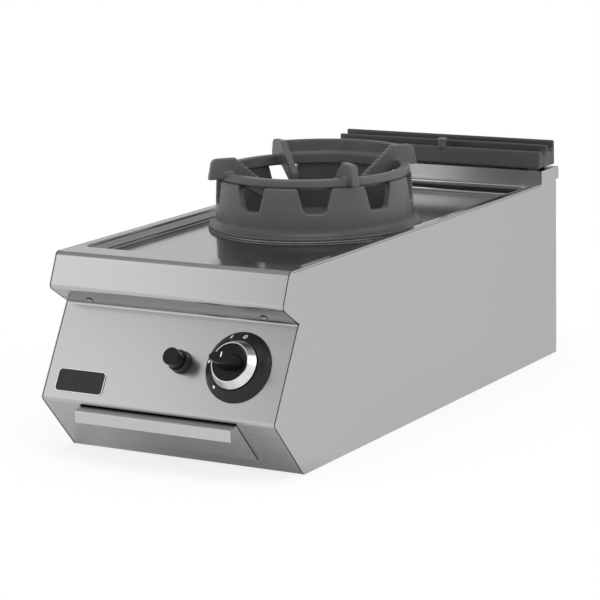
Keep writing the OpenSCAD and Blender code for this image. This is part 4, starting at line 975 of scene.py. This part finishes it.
# The tray's front in the scene lies closer to the slope than its solids do. For each
# node: between which distances off the slope the corners below the lip are moved, and
# their move
SLOPE_AT = Vector((0, -0.465, 0.088))
SLOPE_OUT = Vector((0, -0.7547, -0.6561))
SLOPE_DOWN = Vector((0, 0.6561, -0.7547))
BELOW_LIP = 7.0
PRESSED = {
    "tray_front": (4.4, 6.2, -4.3 * SLOPE_OUT),
    "drip_tray": (3.2, 4.6, Vector((0, 5.7, 0))),
}


def pressed_in(node, near, far, move):
    mesh = nodes[node].data.copy()
    mesh.name = node + "_flush"
    for vert in mesh.vertices:
        off = (vert.co - SLOPE_AT) / MM
        if near < off.dot(SLOPE_OUT) < far and off.dot(SLOPE_DOWN) > BELOW_LIP:
            vert.co += move * MM
    soften(stand_in(node, mesh.name, mesh))


# The crease between the bevel and the control panel, the bevel's directions, and the
# panel's top flange over the bevel: its reach, thickness and half its width
CREASE = Vector((0, -0.392, 0.219))
BEVEL_UP = Vector((0, -0.8350, 0.5502))
BEVEL_OUT = Vector((0, -0.5502, -0.8350))
FLANGE_REACH, FLANGE_T, FLANGE_HALF = 15.5, 0.8, 197.2
# The flange's bend into the panel: where it starts, how far up its tightest point is
# drawn, and how deep its end sinks into the panel
FLANGE_BEND, BEND_DRAWN, BEND_SUNK = 3.0, 0.1, 0.2


def bevel_flange():
    """The sheet's edge that laps the bevel, with the bend that leads into it."""
    face = BEVEL_OUT * FLANGE_T
    start = BEVEL_UP * FLANGE_BEND + face
    stop = -PANEL_UP * (FLANGE_BEND + FLANGE_T)
    corner = BEVEL_UP * BEND_DRAWN + face
    side = [BEVEL_UP * FLANGE_REACH, BEVEL_UP * FLANGE_REACH + face]
    for i in range(ARC_STEPS + 1):
        t = i / ARC_STEPS
        side.append(start * (1 - t) ** 2 + corner * 2 * t * (1 - t) + stop * t * t)
    side.append(-PANEL_OUT * BEND_SUNK)
    bm = bmesh.new()
    place = frame_at(CREASE, AXIS_Y, AXIS_Z, AXIS_X)
    slab(bm, [(v.y, v.z) for v in side], -FLANGE_HALF, FLANGE_HALF, place)
    mesh = finished(bm, "bevel_flange")
    soften(new_piece(mesh.name, mesh, front_steel, "casing"))


make_camera()
make_world()
make_floor()
for lamp_name, lamp in LAMPS.items():
    make_lamp(lamp_name, *lamp)
for node_name in SLOT_OF:
    dress(nodes[node_name], look_of(node_name))
for cad_node in nodes.values():
    soften(cad_node)
cast_copy("wok_ring_base", voxel=0.0018, filled=closed_notch())
cast_copy("wok_ring_top", voxel=0.0014)
cast_copy("flue_grate", voxel=0.0016)
cast_copy("burner_cap", voxel=0.002)
cast_copy("burner_body", voxel=0.002)
dial_marks()
grip_line()
blank_plate()
# A painted highlight on the foot's edge, and painted shade in the groove above it
turned_band("ring_foot_edge", FOOT_EDGE, highlight_iron, "ring_lower")
turned_band("ring_foot_groove_shade", FOOT_GROOVE_SHADE, lead_black, "ring_lower")
bevel_flange()
edge_joint_shades()
front_seam_shades()
for node_name, pressing in PRESSED.items():
    pressed_in(node_name, *pressing)
for node_name in CUT_ACROSS:
    rounded_side(node_name)
screw_gap_shades("bevel_screws", BEVEL_OUT, AXIS_X, CREASE)
cross_recess("bevel_screws", BEVEL_OUT, AXIS_X)
cross_recess("rear_screws", AXIS_Y, -AXIS_X)
